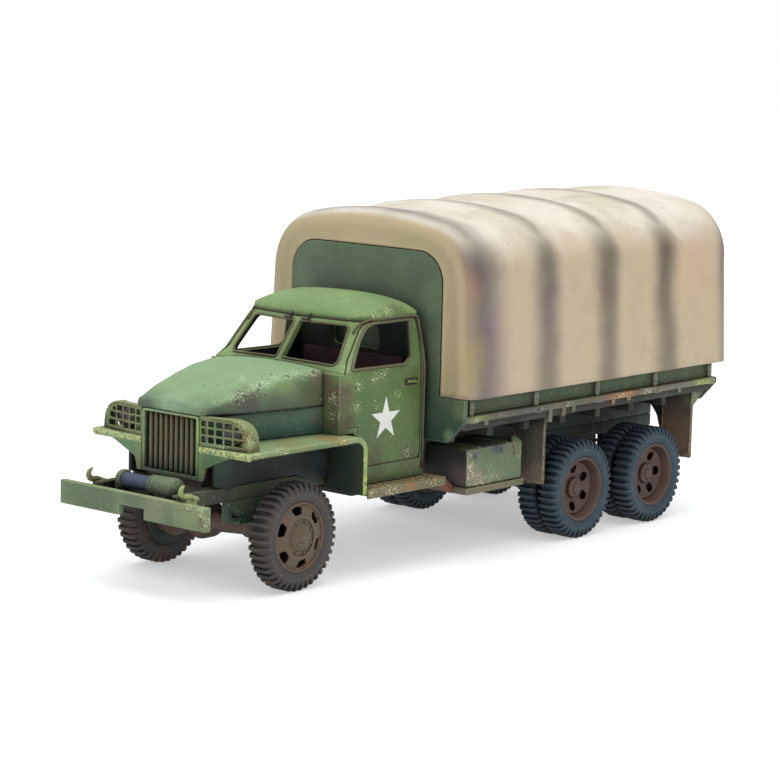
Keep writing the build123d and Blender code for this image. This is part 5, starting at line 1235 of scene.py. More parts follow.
hood_nose, hood_skin, nose_roll = 53.5, 0.8, 0.75
rows = [hood_row(hood_rear + (hood_nose - nose_roll - hood_rear) * i / 40) for i in range(41)]
for i in range(1, 7):
    angle = math.pi / 2 * i / 6
    row = hood_row(hood_nose - nose_roll, nose_roll * (1 - math.cos(angle)),
        nose_roll * (1 - math.cos(angle)))
    rows.append([(hood_nose - nose_roll * (1 - math.sin(angle)), y, z) for _, y, z in row])
rows.append([(hood_nose, y * 0.99, 26.95) for _, y, z in rows[-1]])
rows.append([(hood_nose - 0.15, y, 26.8) for _, y, z in rows[-1]])
rows.append([(hood_nose - hood_skin, y, 26.8) for _, y, z in rows[-1]])
for i in range(20):
    place = hood_nose - hood_skin + (hood_rear - hood_nose + hood_skin) * i / 19
    rows.append(hood_row(place, hood_skin, hood_skin))
add_piece("hood_moulding", [skin_through(rows)], hood_paint, "hood")
# dark paint run into the seam along each side and across in front of the windscreen
hood_lines = []
for side in (1, -1):
    seam = [(x, side * (between([(s[0], s[1]) for s in hood_stations], x) + 0.02),
        between([(s[0], s[2]) for s in hood_stations], x) - 0.03) for x in (52.9, 50, 46, 41, 36, 31.1)]
    hood_lines.append(bead(seam, 0.1, sides=6))
rear_seam = [(hood_rear - 0.02, y, z - 0.02) for _, y, z in hood_row(hood_rear)]
hood_lines.append(bead(rear_seam[::3], 0.11, sides=6))
dark_seam_paint = painted_plastic("near_black_seam_paint", "#1E2823", "#2E3A30", "#0E1412", "#3A2C26",
    "#4A4438", wash_share=0.4, up_light=0.2)
add_piece("hood_seams", hood_lines, dark_seam_paint, slot="dark_metal_paint")

# ---- engine side panels
# A narrow panel closes each side of the engine bay under the hood. It carries the darkest, bluish
# green of the body, and the fender hides its lower edge. It grows darker towards the fender, painted
# shade under the hood's edge.
panel_paint = painted_plastic("dark_teal_panel_paint", "#46604D", "#66805F", "#22392F", "#4E4038", "#7C9070",
    wash_share=0.25, rim_share=0.4, chips=0.05, fade=("#34564A", 26, 23),
    spots=(((31.6, 10.5, 25), 2.2, "#5B4A40", 0.7), ((46, 10.5, 25), 3, "#4A4C42", 0.4)))
finish_piece(softened("engine_side_panels", "engine_bay_side_panels", panel_paint, 0.12), "chassis",
    "body_green", "engine_side_panels")

# ---- radiator and grille
# A slatted grille stands in front of the finned radiator block: a flat frame with nine upright
# round bars, brushed with brown paint in the middle and green towards the frame.
def core_of(node, width=0.14, segments=2):
    """The mesh of a node's softened shape, to be joined with other meshes."""
    piece = softened(node, "core", None, width, segments)
    mesh = piece.data
    bpy.data.objects.remove(piece)
    return mesh


grille_low, grille_high = box_mm("radiator_grille")
slat_count, slat_half = 9, 0.34
frame_side, frame_top, frame_foot = 0.6, 0.4, 0.55
grille_half = grille_high.y
grille_outline = rounded(((-grille_half, grille_low.z, 0.3), (grille_half, grille_low.z, 0.3),
    (grille_half, grille_high.z, 0.5), (-grille_half, grille_high.z, 0.5)))
open_half = grille_half - frame_side
grille_opening = rounded(((-open_half, grille_low.z + frame_foot, 0.2),
    (open_half, grille_low.z + frame_foot, 0.2), (open_half, grille_high.z - frame_top, 0.2),
    (-open_half, grille_high.z - frame_top, 0.2)))
grille_frame = plate([grille_outline, grille_opening], 1.0, 0.16, lambda u, v,
    w: (grille_high.x - 0.5 + w, u, v))
frame_paint = painted_plastic("green_grille_frame_paint", "#66784C", "#93AC86", "#23342B", "#6A5040",
    "#B4C490", wash_share=0.35, rim_share=0.7, chips=0.1, fade=("#3F5541", 21.5, 17.6),
    spots=(((53.5, 6, 24.5), 3.5, "#86A257", 0.9), ((53.5, 6, 20.5), 2.5, "#6E8A50", 0.7)))
add_piece("grille_frame", [grille_frame], frame_paint, "radiator_grille")
slat_pitch = 2 * open_half / (slat_count + 1)
slat_rings = []
for height in (grille_low.z + 0.3, grille_low.z + 1.2, grille_high.z - 0.35):
    slat_rings.append([((grille_high.x - 0.55 + (0.42 * math.cos(a) if abs(a) < 1.6 else -0.35)) * MM,
        (-open_half + slat_pitch + slat_half * math.sin(a)) * MM, height * MM)
        for a in (-2.2, -1.57, -1, -0.5, 0, 0.5, 1, 1.57, 2.2)])
slats = row_of(lofted(slat_rings), slat_count, (0, slat_pitch, 0))
slat_paint = painted_plastic("brown_brushed_slat_paint", "#5E5C44", "#747354", "#1F241C", "#6A4C38",
    "#9A9670", wash_share=0.55, rim_share=0.6, up_light=0.2, wear_width=0.15, fade=("#3A4E3A", 21.2, 17.6),
    spots=(((53.5, -5, 23), 1.6, "#62734E", 0.6), ((53.5, 5, 22), 1.5, "#5E6A4A", 0.7)))
add_piece("grille_slats", [slats], slat_paint)
fin = block((52.3, -5.2, 16.6), (52.52, -5.05, 25.4), 0.03)
fins = row_of(fin, 28, (0, 0.375, 0))
add_piece("radiator_block", [core_of("radiator", 0.2), fins], seam_paint, "radiator", slot="dark_metal_paint")

# ---- headlamps
# A bowl-shaped headlamp stands on each fender behind its guard, in body green with a silver lens
# under a raised rim.
lamp_low, lamp_high = box_mm("headlamps")
lamp_radius, lamp_height = 2.0, lamp_high.z - 2.0
lamp_side = lamp_high.y - lamp_radius


def faced(mesh, degrees, place):
    """A shape swept round the Y axis, turned about the vertical and put at a place in mm."""
    turn = Matrix.Rotation(math.radians(degrees), 4, "Z")
    return moved(mesh, Matrix.Translation(Vector(place) * MM) @ turn)


# outlines: forward from the lamp's rim, radius
lamp_bowl = ((-3, 0), (-2.98, 0.35), (-2.85, 0.85), (-2.5, 1.35), (-1.9, 1.72), (-1.1, 1.92), (-0.6, 1.95),
    (-0.5, 2), (-0.12, 2), (0, 1.9), (0, 1.72), (-0.14, 1.66), (-0.2, 1.6), (-0.2, 0))
lamp_lens = ((-0.24, 0.0), (-0.24, 1.62), (-0.14, 1.62), (-0.06, 1.2), (-0.01, 0.6), (0.0, 0.0))
lamp_bowls, lamp_lenses = [], []
for side in (1, -1):
    lamp_bowls.append(faced(revolved(lamp_bowl, 48), -90, (lamp_high.x, side * lamp_side, lamp_height)))
    lamp_lenses.append(faced(revolved(lamp_lens, 48), -90, (lamp_high.x - 0.02, side * lamp_side,
        lamp_height)))
    lamp_bowls.append(block((50.1, side * lamp_side - 0.45, lamp_low.z),
        (51.1, side * lamp_side + 0.45, lamp_height - 1.6), 0.15))
fender_green = painted_plastic("chipped_yellow_green_paint", "#6F8052", "#98A873", "#2B3D30", "#7A5A38",
    "#C2CE93", wash_share=0.35, rim_share=0.7, chips=0.3, chip_colour="#D5DDA5", dark_chip="#3E3A35",
    clusters=(((52, 12.5, 26.9), 1.8), ((51.5, 11.2, 27), 2.2)))
add_piece("headlamp_bowls", lamp_bowls, fender_green, "headlamps")
lens_paint = painted_plastic("dull_silver_lens_paint", "#8C9292", "#A8AEAE", "#3C4242", "#5A5A50", "#C0C6C6",
    wash_share=0.2, up_light=0.4, roughness=0.3)
add_piece("headlamp_lenses", lamp_lenses, lens_paint, slot="lamp_paint")

# ---- lamp guards
# A pierced plate with a deep curved hoop protects each headlamp. Its bars are brushed brown, and
# the hoop's edge is rubbed down to pale yellow-green.
guard_paint = painted_plastic("brown_green_guard_paint", "#5F6A48", "#8E9C68", "#2E3026", "#6A4A34",
    "#B9C58C", wash_share=0.55, rim_share=0.75, chips=0.3, chip_colour="#D8DFA8", dark_chip="#4A3A30",
    wear_width=0.2, clusters=(((53, 13.6, 26.4), 2.2), ((52.5, 15.4, 24), 2), ((53.4, 10, 22.7), 2),
    ((53.2, -14.8, 25), 1.6)), spots=(((53.2, 9, 23.4), 3.2, "#5F7F66", 0.6),
    ((53, 14.4, 24.6), 1.8, "#7A5238", 0.8), ((53.2, -11, 24.6), 3, "#6E5844", 0.85),
    ((52.6, 15.6, 23.4), 1.5, "#8FA868", 0.6)))
guard_foot, hoop_depth = 22.42, 2.3
hoop_line = [(6.1, 26.85), (8.6, 26.97), (11.2, 26.98), (12.4, 26.9), (13.4, 26.6), (14.2, 26.1),
    (14.85, 25.35), (15.2, 24.5), (15.36, 23.5), (15.4, guard_foot)]
hoop_inner = [(6.1, 26.5), (8.6, 26.62), (11.1, 26.62), (12.28, 26.54), (13.2, 26.28), (13.92, 25.84),
    (14.48, 25.14), (14.82, 24.32), (15, 23.5), (15.04, guard_foot)]
# columns: inner and outer edge of an opening; rows: its lower and upper edge
opening_columns = ((6.4, 7.4), (7.7, 8.9), (9.2, 10.5), (10.8, 12.2), (12.5, 14.25))
opening_rows = ((23.0, 23.92), (24.24, 25.12), (25.42, 26.28))
guards = []
for side in (1, -1):
    def sweep(u, v, w):
        return (53.5 - 1.15 * eased(u, 5.0, 17.5) ** 1.3 + w, side * u, v)

    def hoop_sweep(u, v, w):
        # the hoop is a thin strip at the grille and widens round the lamp's outer side
        return sweep(u, v, (w - hoop_depth / 2) * (0.35 + 0.65 * eased(u, 8.5, 14.5)))

    holes = []
    for column, (inner, outer) in enumerate(opening_columns):
        for row, (foot, head) in enumerate(opening_rows):
            if column == 4 and row == 2:
                outer, head = 13.35, 25.95
            if column == 4 and row == 1:
                outer = 14.0
            holes.append(rounded(((inner, foot, 0.14), (outer, foot, 0.14), (outer, head, 0.2),
                (inner, head, 0.14)), 2))
    face = [(6.1, guard_foot)] + [(u + 0.02, v) for u, v in hoop_inner[::-1]]
    guards.append(plate([face] + holes, 0.36, 0.08, lambda u, v, w: sweep(u, v, w - 0.25),
        tuple(("u", 6.5 + i) for i in range(9))))
    band = hoop_line + hoop_inner[::-1]
    guards.append(plate([band], hoop_depth, 0.1, hoop_sweep, tuple(("u", 6.5 + i * 0.75) for i in range(12))))
add_piece("lamp_guard_pair", guards, guard_paint, "lamp_guards")

# ---- fenders
# Flat-topped fenders with a rolled drop to the running board, an apron beside the grille and a wall
# inside each wheel arch. Tops and edges are bright yellow-green; the walls are nearly black, dark paint
# deepened as painted shade, and faces that look in under the fender are darkened as painted shade.
fender_paint = painted_plastic("two_tone_and_shaded_fender_paint", "#667C4E", "#90A67A", "#16211F", "#8A6136", "#C5D08F",
    wash_share=0.45, inside=((40, 0, 14), "#1A2A27"), rim_share=0.75, chips=0.12, chip_colour="#DCE2A4",
    dark_chip="#3C3330", clusters=(((51.5, 15.5, 22.2), 3.2), ((46.5, 16.6, 22.2), 2.6), ((33, 16, 22.3), 3),
    ((27.6, 16.6, 15.2), 2.2), ((28, 16.6, 18.8), 1.6), ((52.5, -14, 22.3), 2)),
    spots=(((53.6, 9.4, 20.2), 5, "#456647", 1), ((53.6, -10.5, 20.6), 6, "#5E8460", 1),
    ((27.5, 16.7, 20.6), 2.6, "#8CA463", 1), ((27.4, 16.7, 18), 2.4, "#8CA463", 1),
    ((27.4, 16.7, 15.4), 2.4, "#93A85C", 1), ((27.4, 16.7, 13.4), 1.8, "#93A85C", 1),
    ((42, 14, 22.4), 4.5, "#8C8A58", 0.7), ((33.5, 14.6, 22.4), 4, "#93703C", 0.75),
    ((49, 13.5, 22.4), 3, "#8FA06A", 0.7)))
top_line = rounded(((53.62, 21.5, 0.1), (53.62, 22.38, 0.35), (27.33, 22.38, 2.4), (27.33, 13.12, 0.1),
    (28.22, 13.12, 0.1), (28.22, 21.5, 1.6)), 7)
# the apron beside the grille, seen from the front: its lower edge falls away towards the rail
apron_line = rounded(((6.1, 22.3, 0.1), (6.1, 17.1, 0.3), (6.9, 17.1, 0.3), (7.4, 19.1, 0.8),
    (12.4, 21.3, 1.6), (16.5, 21.3, 0.4), (16.66, 22.3, 0.1)), 4)
# the wall inside the arch, from the side: closed to the apron, open over the axle
wall_line = rounded(((28.1, 21.9, 0.2), (28.1, 15.4, 0.3), (33, 15.4, 0.8), (35.4, 16.3, 1.4),
    (47.4, 16.3, 1.4), (50, 15.8, 0.8), (53.1, 16.6, 0.3), (53.1, 21.9, 0.2)), 4)
# the arch walls are dark paint deepened to near-black as painted shade under the fender
wall_paint_dark = painted_plastic("near_black_arch_paint", "#1F2B29", "#2C3833", "#0B1415", "#3E3A30",
    "#4C5648", wash_share=0.35, rim_share=0.3, up_light=0.2, spots=(((51.5, 9.2, 20), 3, "#2C4A38", 0.8),
    ((30, 9.2, 18), 3.4, "#1A3636", 0.8), ((42, 9.2, 17.6), 3.4, "#2C2A26", 0.6)))
for side_name, side in (("left", 1), ("right", -1)):
    skin = plate([top_line], 8.0, 0.2, lambda u, v, w: (u, side * (12.68 + w), v), (), 2)
    inner = plate([rounded(((53.62, 21.5, 0.1), (53.62, 22.36, 0.3), (51.9, 22.36, 0.1), (51.9, 21.5, 0.1)),
        3)], 2.7, 0.12, lambda u, v, w: (u, side * (7.45 + w), v))
    apron = plate([apron_line], 0.7, 0.14, lambda u, v, w: (53.24 + w, side * u, v))
    add_piece(f"fender_{side_name}_moulding", [skin, inner, apron], fender_paint, f"fender_{side_name}")
    wall = plate([wall_line], 0.6, 0.1, lambda u, v, w: (u, side * (8.95 + w), v))
    add_piece(f"arch_wall_{side_name}", [wall], wall_paint_dark)

# ---- winch
# A worm-gear winch between the frame horns: a drum wound with blue-grey painted rope, two cheeks and
# a round gear housing. It is moulded in three parts and glued to a base plate.
winch_low, winch_high = box_mm("winch_frame")
winch_place = Vector(((winch_low.x + winch_high.x) / 2, 0.2, winch_high.z - 1.9)) * MM
winch_paint = painted_plastic("grey_green_winch_paint", "#4C5E47", "#72836A", "#1A2620", "#5E4C3C", "#A3B294",
    wash_share=0.35, rim_share=0.55, chips=0.12)
# outlines: across the truck, radius
left_cheek = ((-6.9, 0), (-6.9, 0.5), (-6.75, 0.6), (-6.6, 0.62), (-6.6, 1.35), (-6.5, 1.5), (-6.1, 1.55),
    (-6, 1.45), (-6, 0))
housing = ((0.62, 0), (0.62, 1.45), (0.72, 1.58), (1.3, 1.6), (1.45, 1.5), (1.6, 1.5), (1.75, 1.62),
    (4.2, 1.7), (4.95, 1.66), (5.2, 1.52), (5.32, 1.3), (5.34, 0.9), (5.42, 0.82), (5.42, 0))
winch_shapes = [shifted(revolved(outline, 56), winch_place) for outline in (left_cheek, housing)]
centre_x, centre_z = winch_place.x / MM, winch_place.z / MM
winch_shapes.append(block((winch_low.x, -7.35, winch_low.z), (winch_high.x, 7.35, winch_low.z + 0.6), 0.12))
for start, end in ((-6.58, -6.05), (1.9, 4.4)):
    winch_shapes.append(block((centre_x - 1.3, start, winch_low.z + 0.4),
        (centre_x + 1.3, end, centre_z - 0.6), 0.15))
winch_shapes.append(ring_of(wheel_nut(1.12, 5.2, 0.16, 0.14), 6, winch_place))
add_piece("winch_housing", winch_shapes, winch_paint, "winch_frame")
flanges = [shifted(revolved(outline, 48), winch_place) for outline in (((-5.95, 0), (-5.95, 1.5),
    (-5.88, 1.58), (-5.68, 1.58), (-5.6, 1.5), (-5.6, 0)), ((0.12, 0), (0.12, 1.5), (0.2, 1.58), (0.46, 1.58),
    (0.54, 1.5), (0.54, 0)))]
add_piece("winch_drum_flanges", flanges, winch_paint)
turns = 13
rope_outline = [(-5.62, 0.0), (-5.62, 1.05)]
for i in range(turns):
    start, pitch = -5.6 + 5.7 * i / turns, 5.7 / turns
    rope_outline += [(start + pitch * step, 1.07 + 0.16 * math.sin(math.pi * step))
        for step in (0.12, 0.3, 0.5, 0.7, 0.88)]
rope_outline += [(0.12, 1.05), (0.12, 0.0)]
rope_paint = painted_plastic("blue_grey_rope_paint", "#454F66", "#5A6580", "#1E2433", "#3A3C44", "#76819A",
    wash_share=0.3, rim_share=0.6, up_light=0.4, wear_width=0.1)
add_piece("winch_rope_winding", [shifted(revolved(rope_outline, 56), winch_place)], rope_paint, "winch_drum",
    slot="rope_paint")

# ---- tow hooks
# A forged hook stands on each frame horn behind the bumper, its shank bent up and its tip curled
# back. It is bright green with pale edges on the left and rubbed to brown on the right.
hooks = []
for side in (1, -1):
    y = side * 9.75
    shank = [(57.3, 15.35, 0.42), (58.1, 15.6, 0.42), (59, 15.95, 0.45), (59.9, 16, 0.48),
        (60.55, 16.25, 0.48), (60.85, 16.75, 0.44), (60.7, 17.25, 0.36), (60.35, 17.58, 0.26),
        (60.05, 17.7, 0.14)]
    sections = []
    for i, (x, z, radius) in enumerate(shank):
        ahead = Vector(shank[min(i + 1, len(shank) - 1)][:2]) - Vector(shank[max(i - 1, 0)][:2])
        across = Vector((-ahead.y, ahead.x)).normalized() * radius
        sections.append([Vector((x + across.x * math.cos(a), y + radius * 0.95 * math.sin(a),
            z + across.y * math.cos(a))) * MM for a in (2 * math.pi * k / 10 for k in range(10))])
    hooks.append(lofted(sections))
    hooks.append(block((57.5, side * 9.3 - 0.62, 14.45), (59.9, side * 9.3 + 0.62, 15.75), 0.15))
    hooks.append(bead([(58.4, y - 0.75, 15.55), (58.4, y + 0.75, 15.55)], 0.3))
hook_paint = painted_plastic("worn_green_hook_paint", "#74844F", "#9FAE78", "#2C3B2D", "#6B5140", "#CBD49A",
    wash_share=0.4, rim_share=0.8, chips=0.3, wear_width=0.2, spots=(((60, -9.7, 16.4), 3, "#6B5A48", 0.8),))
add_piece("tow_hook_pair", hooks, hook_paint, "tow_hooks")

# ---- front axle and springs
# A solid casting carries the front wheels: a ball-shaped gear housing off centre, tapered tubes, a
# fork at each end and brake drums. Moulded spring packs join it to the rails.
def centred(outline, place, steps=64):
    """A shape swept round the Y axis and put at a place in mm."""
    return shifted(revolved(outline, steps), Vector(place) * MM)


axle_height = 8.3
front_axle_x = (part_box("front_axle")[0].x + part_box("front_axle")[1].x) / 2 / MM
axle_paint = painted_plastic("rusty_brown_axle_paint", "#4F4138", "#77665A", "#1C1D1C", "#7A4A34", "#8A7C68",
    wash_share=0.6, rim_share=0.5, chips=0.1, up_light=0.6)
# outlines: along the axle, radius
front_tube = ((-12.2, 0), (-12.2, 1.5), (-7.6, 1.55), (-7.4, 1.9), (-7, 1.9), (-6.8, 1.5), (-6, 2.2),
    (-5.2, 2.85), (-4.4, 3.05), (-3.4, 2.9), (-2.7, 2.3), (-2.2, 1.75), (4.6, 1.25), (4.9, 1.6), (6.4, 1.7),
    (6.6, 1.5), (8.6, 1.6), (12.2, 1.6), (12.2, 0))
axle_meshes = [core_of("front_axle", 0.2), centred(front_tube, (front_axle_x, 0, axle_height))]
for side in (1, -1):
    axle_meshes.append(block((39.6, side * 8.0 - 1.1, 9.0), (42.8, side * 8.0 + 1.1, 9.9), 0.15))
tie_rod = bead([(38.6, -11.4, 7.4), (38.6, 11.4, 7.4)], 0.35, sides=10)
add_piece("front_axle_casting", axle_meshes + [tie_rod], axle_paint, "front_axle", slot="running_gear_brown")
plate_outline = ((11.9, 0.0), (11.75, 3.0), (11.8, 4.6), (11.95, 5.2), (12.15, 5.3), (12.3, 5.2), (12.3, 0.0))
plate_paint = painted_plastic("dark_teal_drum_paint", "#1C2A2A", "#2C3C38", "#0C1416", "#4A3A30", "#4F5C50",
    wash_share=0.5, rim_share=0.2, up_light=0.2)
drum_plate = centred(plate_outline, (front_axle_x, 0, axle_height), 48)
add_piece("front_brake_plates", [drum_plate, mirrored(drum_plate)], plate_paint, slot="running_gear_brown")


def spring_pack(node, name, middle, half, foot, leaves, paint):
    """The leaves of a pair of springs over a solid moulded web, each leaf shorter than the next."""
    high = box_mm(node)[1]
    meshes = []
    for side in (1, -1):
        web = rounded(((middle - half + 1.2, high.z, 0.2), (middle - half + 1.2, high.z - 1.6, 0.2),
            (middle - half * 0.55, foot + 0.4, 0.6), (middle + half * 0.55, foot + 0.4, 0.6),
            (middle + half - 1.2, high.z - 1.6, 0.2), (middle + half - 1.2, high.z, 0.2)), 3)
        meshes.append(plate([web], 0.7, 0.08, lambda u, v, w: (u, side * 8.0 + w, v)))
        for leaf in range(leaves):
            reach = half * (1 - 0.62 * leaf / (leaves - 1))
            arch = [(middle + reach * (i / 5 - 1), side * 8.0, high.z - 1.0 - leaf * 0.42 - 0.9
                * (1 - (i / 5 - 1) ** 2)) for i in range(11)]
            meshes.append(bead(arch, 0.24, False, 6, 2.3))
        for place in (middle - 1.5, middle + 1.5):
            meshes.append(block((place - 0.3, side * 8.0 - 0.6, foot),
                (place + 0.3, side * 8.0 + 0.6, high.z - 1.0), 0.1))
    meshes.append(core_of(node, 0.12))
    return add_piece(name, meshes, paint, node, slot="running_gear_brown")


spring_paint = painted_plastic("dark_green_spring_paint", "#2C4034", "#52654C", "#121D1B", "#5A4436",
    "#6E7C5C", wash_share=0.45, rim_share=0.4, chips=0.05, up_light=0.5)
spring_pack("front_springs", "front_spring_packs", front_axle_x, 8.5, 9.5, 6, spring_paint)

# ---- rear axles and their springs
# Two driven axles under the bed, each with a ball-shaped gear housing, hang on one long spring pack
# a side, which rocks on a trunnion below the rail.
axle_dark_paint = painted_plastic("dark_brown_axle_paint", "#2F2D2A", "#54493E", "#101413", "#5E4032",
    "#6E6454", wash_share=0.6, rim_share=0.4, up_light=0.5)
# outline: along the axle, radius
rear_tube = ((-12.6, 0), (-12.6, 1.55), (-6.9, 1.6), (-6, 2.3), (-5.2, 2.95), (-4.4, 3.15), (-3.4, 3),
    (-2.6, 2.3), (-2, 1.7), (6, 1.55), (12.6, 1.55), (12.6, 0))
rear_plate = ((12.3, 0.0), (12.3, 4.8), (12.4, 5.2), (12.55, 5.3), (12.7, 5.2), (12.7, 0.0))
for node in ("middle_axle", "rear_axle"):
    low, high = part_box(node)
    place = ((low.x + high.x) / 2 / MM, 0, axle_height)
    drum_plate = centred(rear_plate, place, 48)
    meshes = [core_of(node, 0.2), centred(rear_tube, place), drum_plate, mirrored(drum_plate)]
    add_piece(node + "_casting", meshes, axle_dark_paint, node, slot="running_gear_brown")
bogie_middle = (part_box("bogie_springs")[0].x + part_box("bogie_springs")[1].x) / 2 / MM
spring_pack("bogie_springs", "bogie_spring_packs", bogie_middle, 10.8, 9.5, 7, axle_dark_paint)
trunnion = centred(((-9.4, 0), (-9.4, 1.3), (-9.2, 1.5), (9.2, 1.5), (9.4, 1.3), (9.4, 0)),
    (bogie_middle, 0, 11.6), 32)
arms = [bead([(bogie_middle, side * 6.2, 10.2), (bogie_middle + reach, side * 6.2, 10.0)], 0.45)
    for side in (1, -1) for reach in (-9.6, 9.6)]
for side in (1, -1):
    arms.append(block((-47.4, side * 7.45, 10.6), (-44.4, side * 8.55, 13.84), 0.25))
    arms.append(block((-22.4, side * 7.45, 11.2), (-20.0, side * 8.55, 13.84), 0.25))
add_piece("bogie_trunnion_and_rods", [trunnion] + arms, axle_dark_paint, slot="running_gear_brown")

# ---- engine, gearboxes, shafts, exhaust
# The drive line under the frame, plain castings in dark brown and black paint: engine block,
# transfer gearbox, shafts with universal joints, and the silencer on the right.
gear_paint = painted_plastic("black_brown_casting_paint", "#2B2D2A", "#4C4A40", "#0F1212", "#5A4234",
    "#625C4E", wash_share=0.5, rim_share=0.4, up_light=0.5)
engine_low, engine_high = box_mm("engine_block")
engine_ribs = row_of(block((engine_low.x + 1.2, engine_low.y - 0.35, 14.5),
    (engine_low.x + 1.8, engine_high.y + 0.35, 23.6), 0.1), 7, (2.35, 0, 0))
engine_pan = block((engine_low.x + 1.0, -3.2, engine_low.z - 0.02), (engine_high.x - 1.5, 3.2, 14.8), 0.5)
add_piece("engine_casting", [core_of("engine_block", 0.35, 3), engine_ribs, engine_pan], gear_paint,
    "engine_block", slot="running_gear_brown")
case_low = box_mm("transfer_case")[0]
case_bolts = row_of(block((case_low.x + 0.9, case_low.y - 0.12, 11.2),
    (case_low.x + 1.35, case_low.y + 0.2, 11.65), 0.08), 3, (1.9, 0, 0))
add_piece("transfer_gearbox", [core_of("transfer_case", 0.4, 3), case_bolts], gear_paint, "transfer_case",
    slot="running_gear_brown")
for node, name in (("propeller_shafts", "shafts_and_joints"), ("exhaust", "silencer_and_pipe")):
    finish_piece(softened(node, name, gear_paint, 0.18, 3), "chassis", "running_gear_brown", node)

# ---- running boards
# A pressed tread plate under each door on two brackets. Its top is scuffed brown, its edge is khaki
# green with rubbed spots.
step_paint = painted_plastic("scuffed_khaki_step_paint", "#69654C", "#86795C", "#22251F", "#7A5138",
    "#C9C48E", wash_share=0.5, rim_share=0.8, chips=0.3, chip_colour="#D8D0A0", dark_chip="#4A3428",
    up_light=0.6, clusters=(((12, 16.9, 13.8), 2.8), ((22, 16.9, 13.8), 3.4), ((26.4, 16.9, 13.5), 1.6)),
    spots=(((17.5, 16.9, 13.6), 1.8, "#9A6236", 0.6), ((11, 14.8, 13.8), 3, "#7C5E44", 0.8)))
tread = []
for side in (1, -1):
    for y in (13.4, 14.1, 14.8, 15.5, 16.2):
        tread.append(row_of(block((9.6, side * y - 0.16, 13.78), (10.9, side * y + 0.16, 13.96), 0.05), 9,
            (1.9, 0, 0)))
tread += [block((8.76, side * 16.45, 12.5), (27.24, side * 17.02, 13.89), 0.16) for side in (1, -1)]
add_piece("tread_plate_steps", [core_of("running_boards", 0.16)] + tread, step_paint, "running_boards",
    slot="step_green")
strut_paint = painted_plastic("red_brown_strut_paint", "#6A4538", "#87604C", "#2A1F1C", "#8A5236", "#A88468",
    wash_share=0.5, rim_share=0.5, chips=0.1)
struts = []
for side in (1, -1):
    line = rounded(((9.4, 13.6, 0.2), (9.4, 12.4, 0.2), (4.6, 10.3, 0.2), (3.4, 10.3, 0.2), (3.4, 11.2, 0.2),
        (7.4, 13.6, 0.3)), 3)
    struts.append(plate([line], 0.8, 0.12, lambda u, v, w: (u, side * 14.4 + w, v)))
add_piece("step_to_tray_struts", struts, strut_paint, slot="running_gear_brown")

# ---- fuel tank, stowage box, trays
# A welded fuel tank on the left and a tool box on the right stand in trays under the bed. Their
# front lower corner is rubbed to pale plastic, and a patch of old blue-grey shows near the top.
# the near-black spots on the front ends and on top, under the bed, are painted shade
tank_paint = painted_plastic("chipped_green_tank_paint", "#64745A", "#7A8466", "#121D1B", "#6E5640",
    "#B5BC98", wash_share=0.3, rim_share=0.75, chips=0.12, chip_colour="#D3C9B0", dark_chip="#5E4038",
    up_light=0.1, clusters=(((3.4, 17.3, 12.4), 2.6), ((2.6, 17.3, 14.6), 2.2), ((3.6, 17.3, 16.6), 1.6),
    ((0.2, 17.3, 12.2), 2.4), ((-2.6, 17.3, 12), 2), ((-5, 17.3, 12.1), 1.4), ((-9.9, 17.3, 15.4), 1.6),
    ((3.2, -17.3, 12.6), 2.6), ((-8, -17.3, 12.4), 2.2)), spots=(((7, 12.4, 15), 8.2, "#12201F", 1),
    ((5, 9, 14), 6, "#12201F", 1), ((-3.2, 12.4, 20.2), 8, "#16231F", 0.9),
    ((3.3, 17.4, 14.2), 2.3, "#8E7F70", 0.8), ((1, 17.4, 12.4), 2.4, "#938472", 0.7),
    ((-3.4, 17.3, 16.9), 1.3, "#3C4452", 1), ((-4.9, 17.3, 16.7), 1.1, "#3C4452", 1),
    ((1.8, 17.3, 16.3), 0.9, "#454B60", 0.9), ((-8.3, 17.3, 16.9), 0.8, "#6A3030", 1),
    ((-8.4, 17.3, 15.8), 0.6, "#6A3030", 0.9)))
tank_low, tank_high = box_mm("fuel_tank")
tank_top, box_inner, box_outer = 17.55, 8.65, 17.25
for node, name, side in (("fuel_tank", "welded_fuel_tank", 1), ("stowage_box", "tool_box", -1)):
    meshes = [block((tank_low.x, side * box_inner, tank_low.z), (tank_high.x, side * box_outer, tank_top),
        0.18)]
    if side == 1:
        neck = ((0.0, 0.0), (0.0, 0.95), (0.75, 0.9), (0.8, 1.05), (1.25, 1.02), (1.35, 0.9), (1.35, 0.0))
        meshes.append(moved(revolved(neck, 8), Matrix.Translation(Vector((-9.15, 16, 16.9))
            * MM) @ Matrix.Rotation(math.radians(38), 4, "X")))
        for x in (-6.8, 0.4):
            meshes.append(block((x - 0.35, 8.8, tank_top - 0.1), (x + 0.35, 17.0, tank_top + 0.12), 0.06))
    else:
        meshes.append(block((tank_low.x - 0.02, -box_outer - 0.02, tank_top - 1.5),
            (tank_high.x + 0.02, -box_inner, tank_top - 1.3), 0.08))
        for x in (-6.4, -0.2):
            meshes.append(block((x - 0.5, -box_outer - 0.14, tank_top - 2.0),
                (x + 0.5, -box_outer + 0.2, tank_top - 0.7), 0.08))
    add_piece(name, meshes, tank_paint, node)
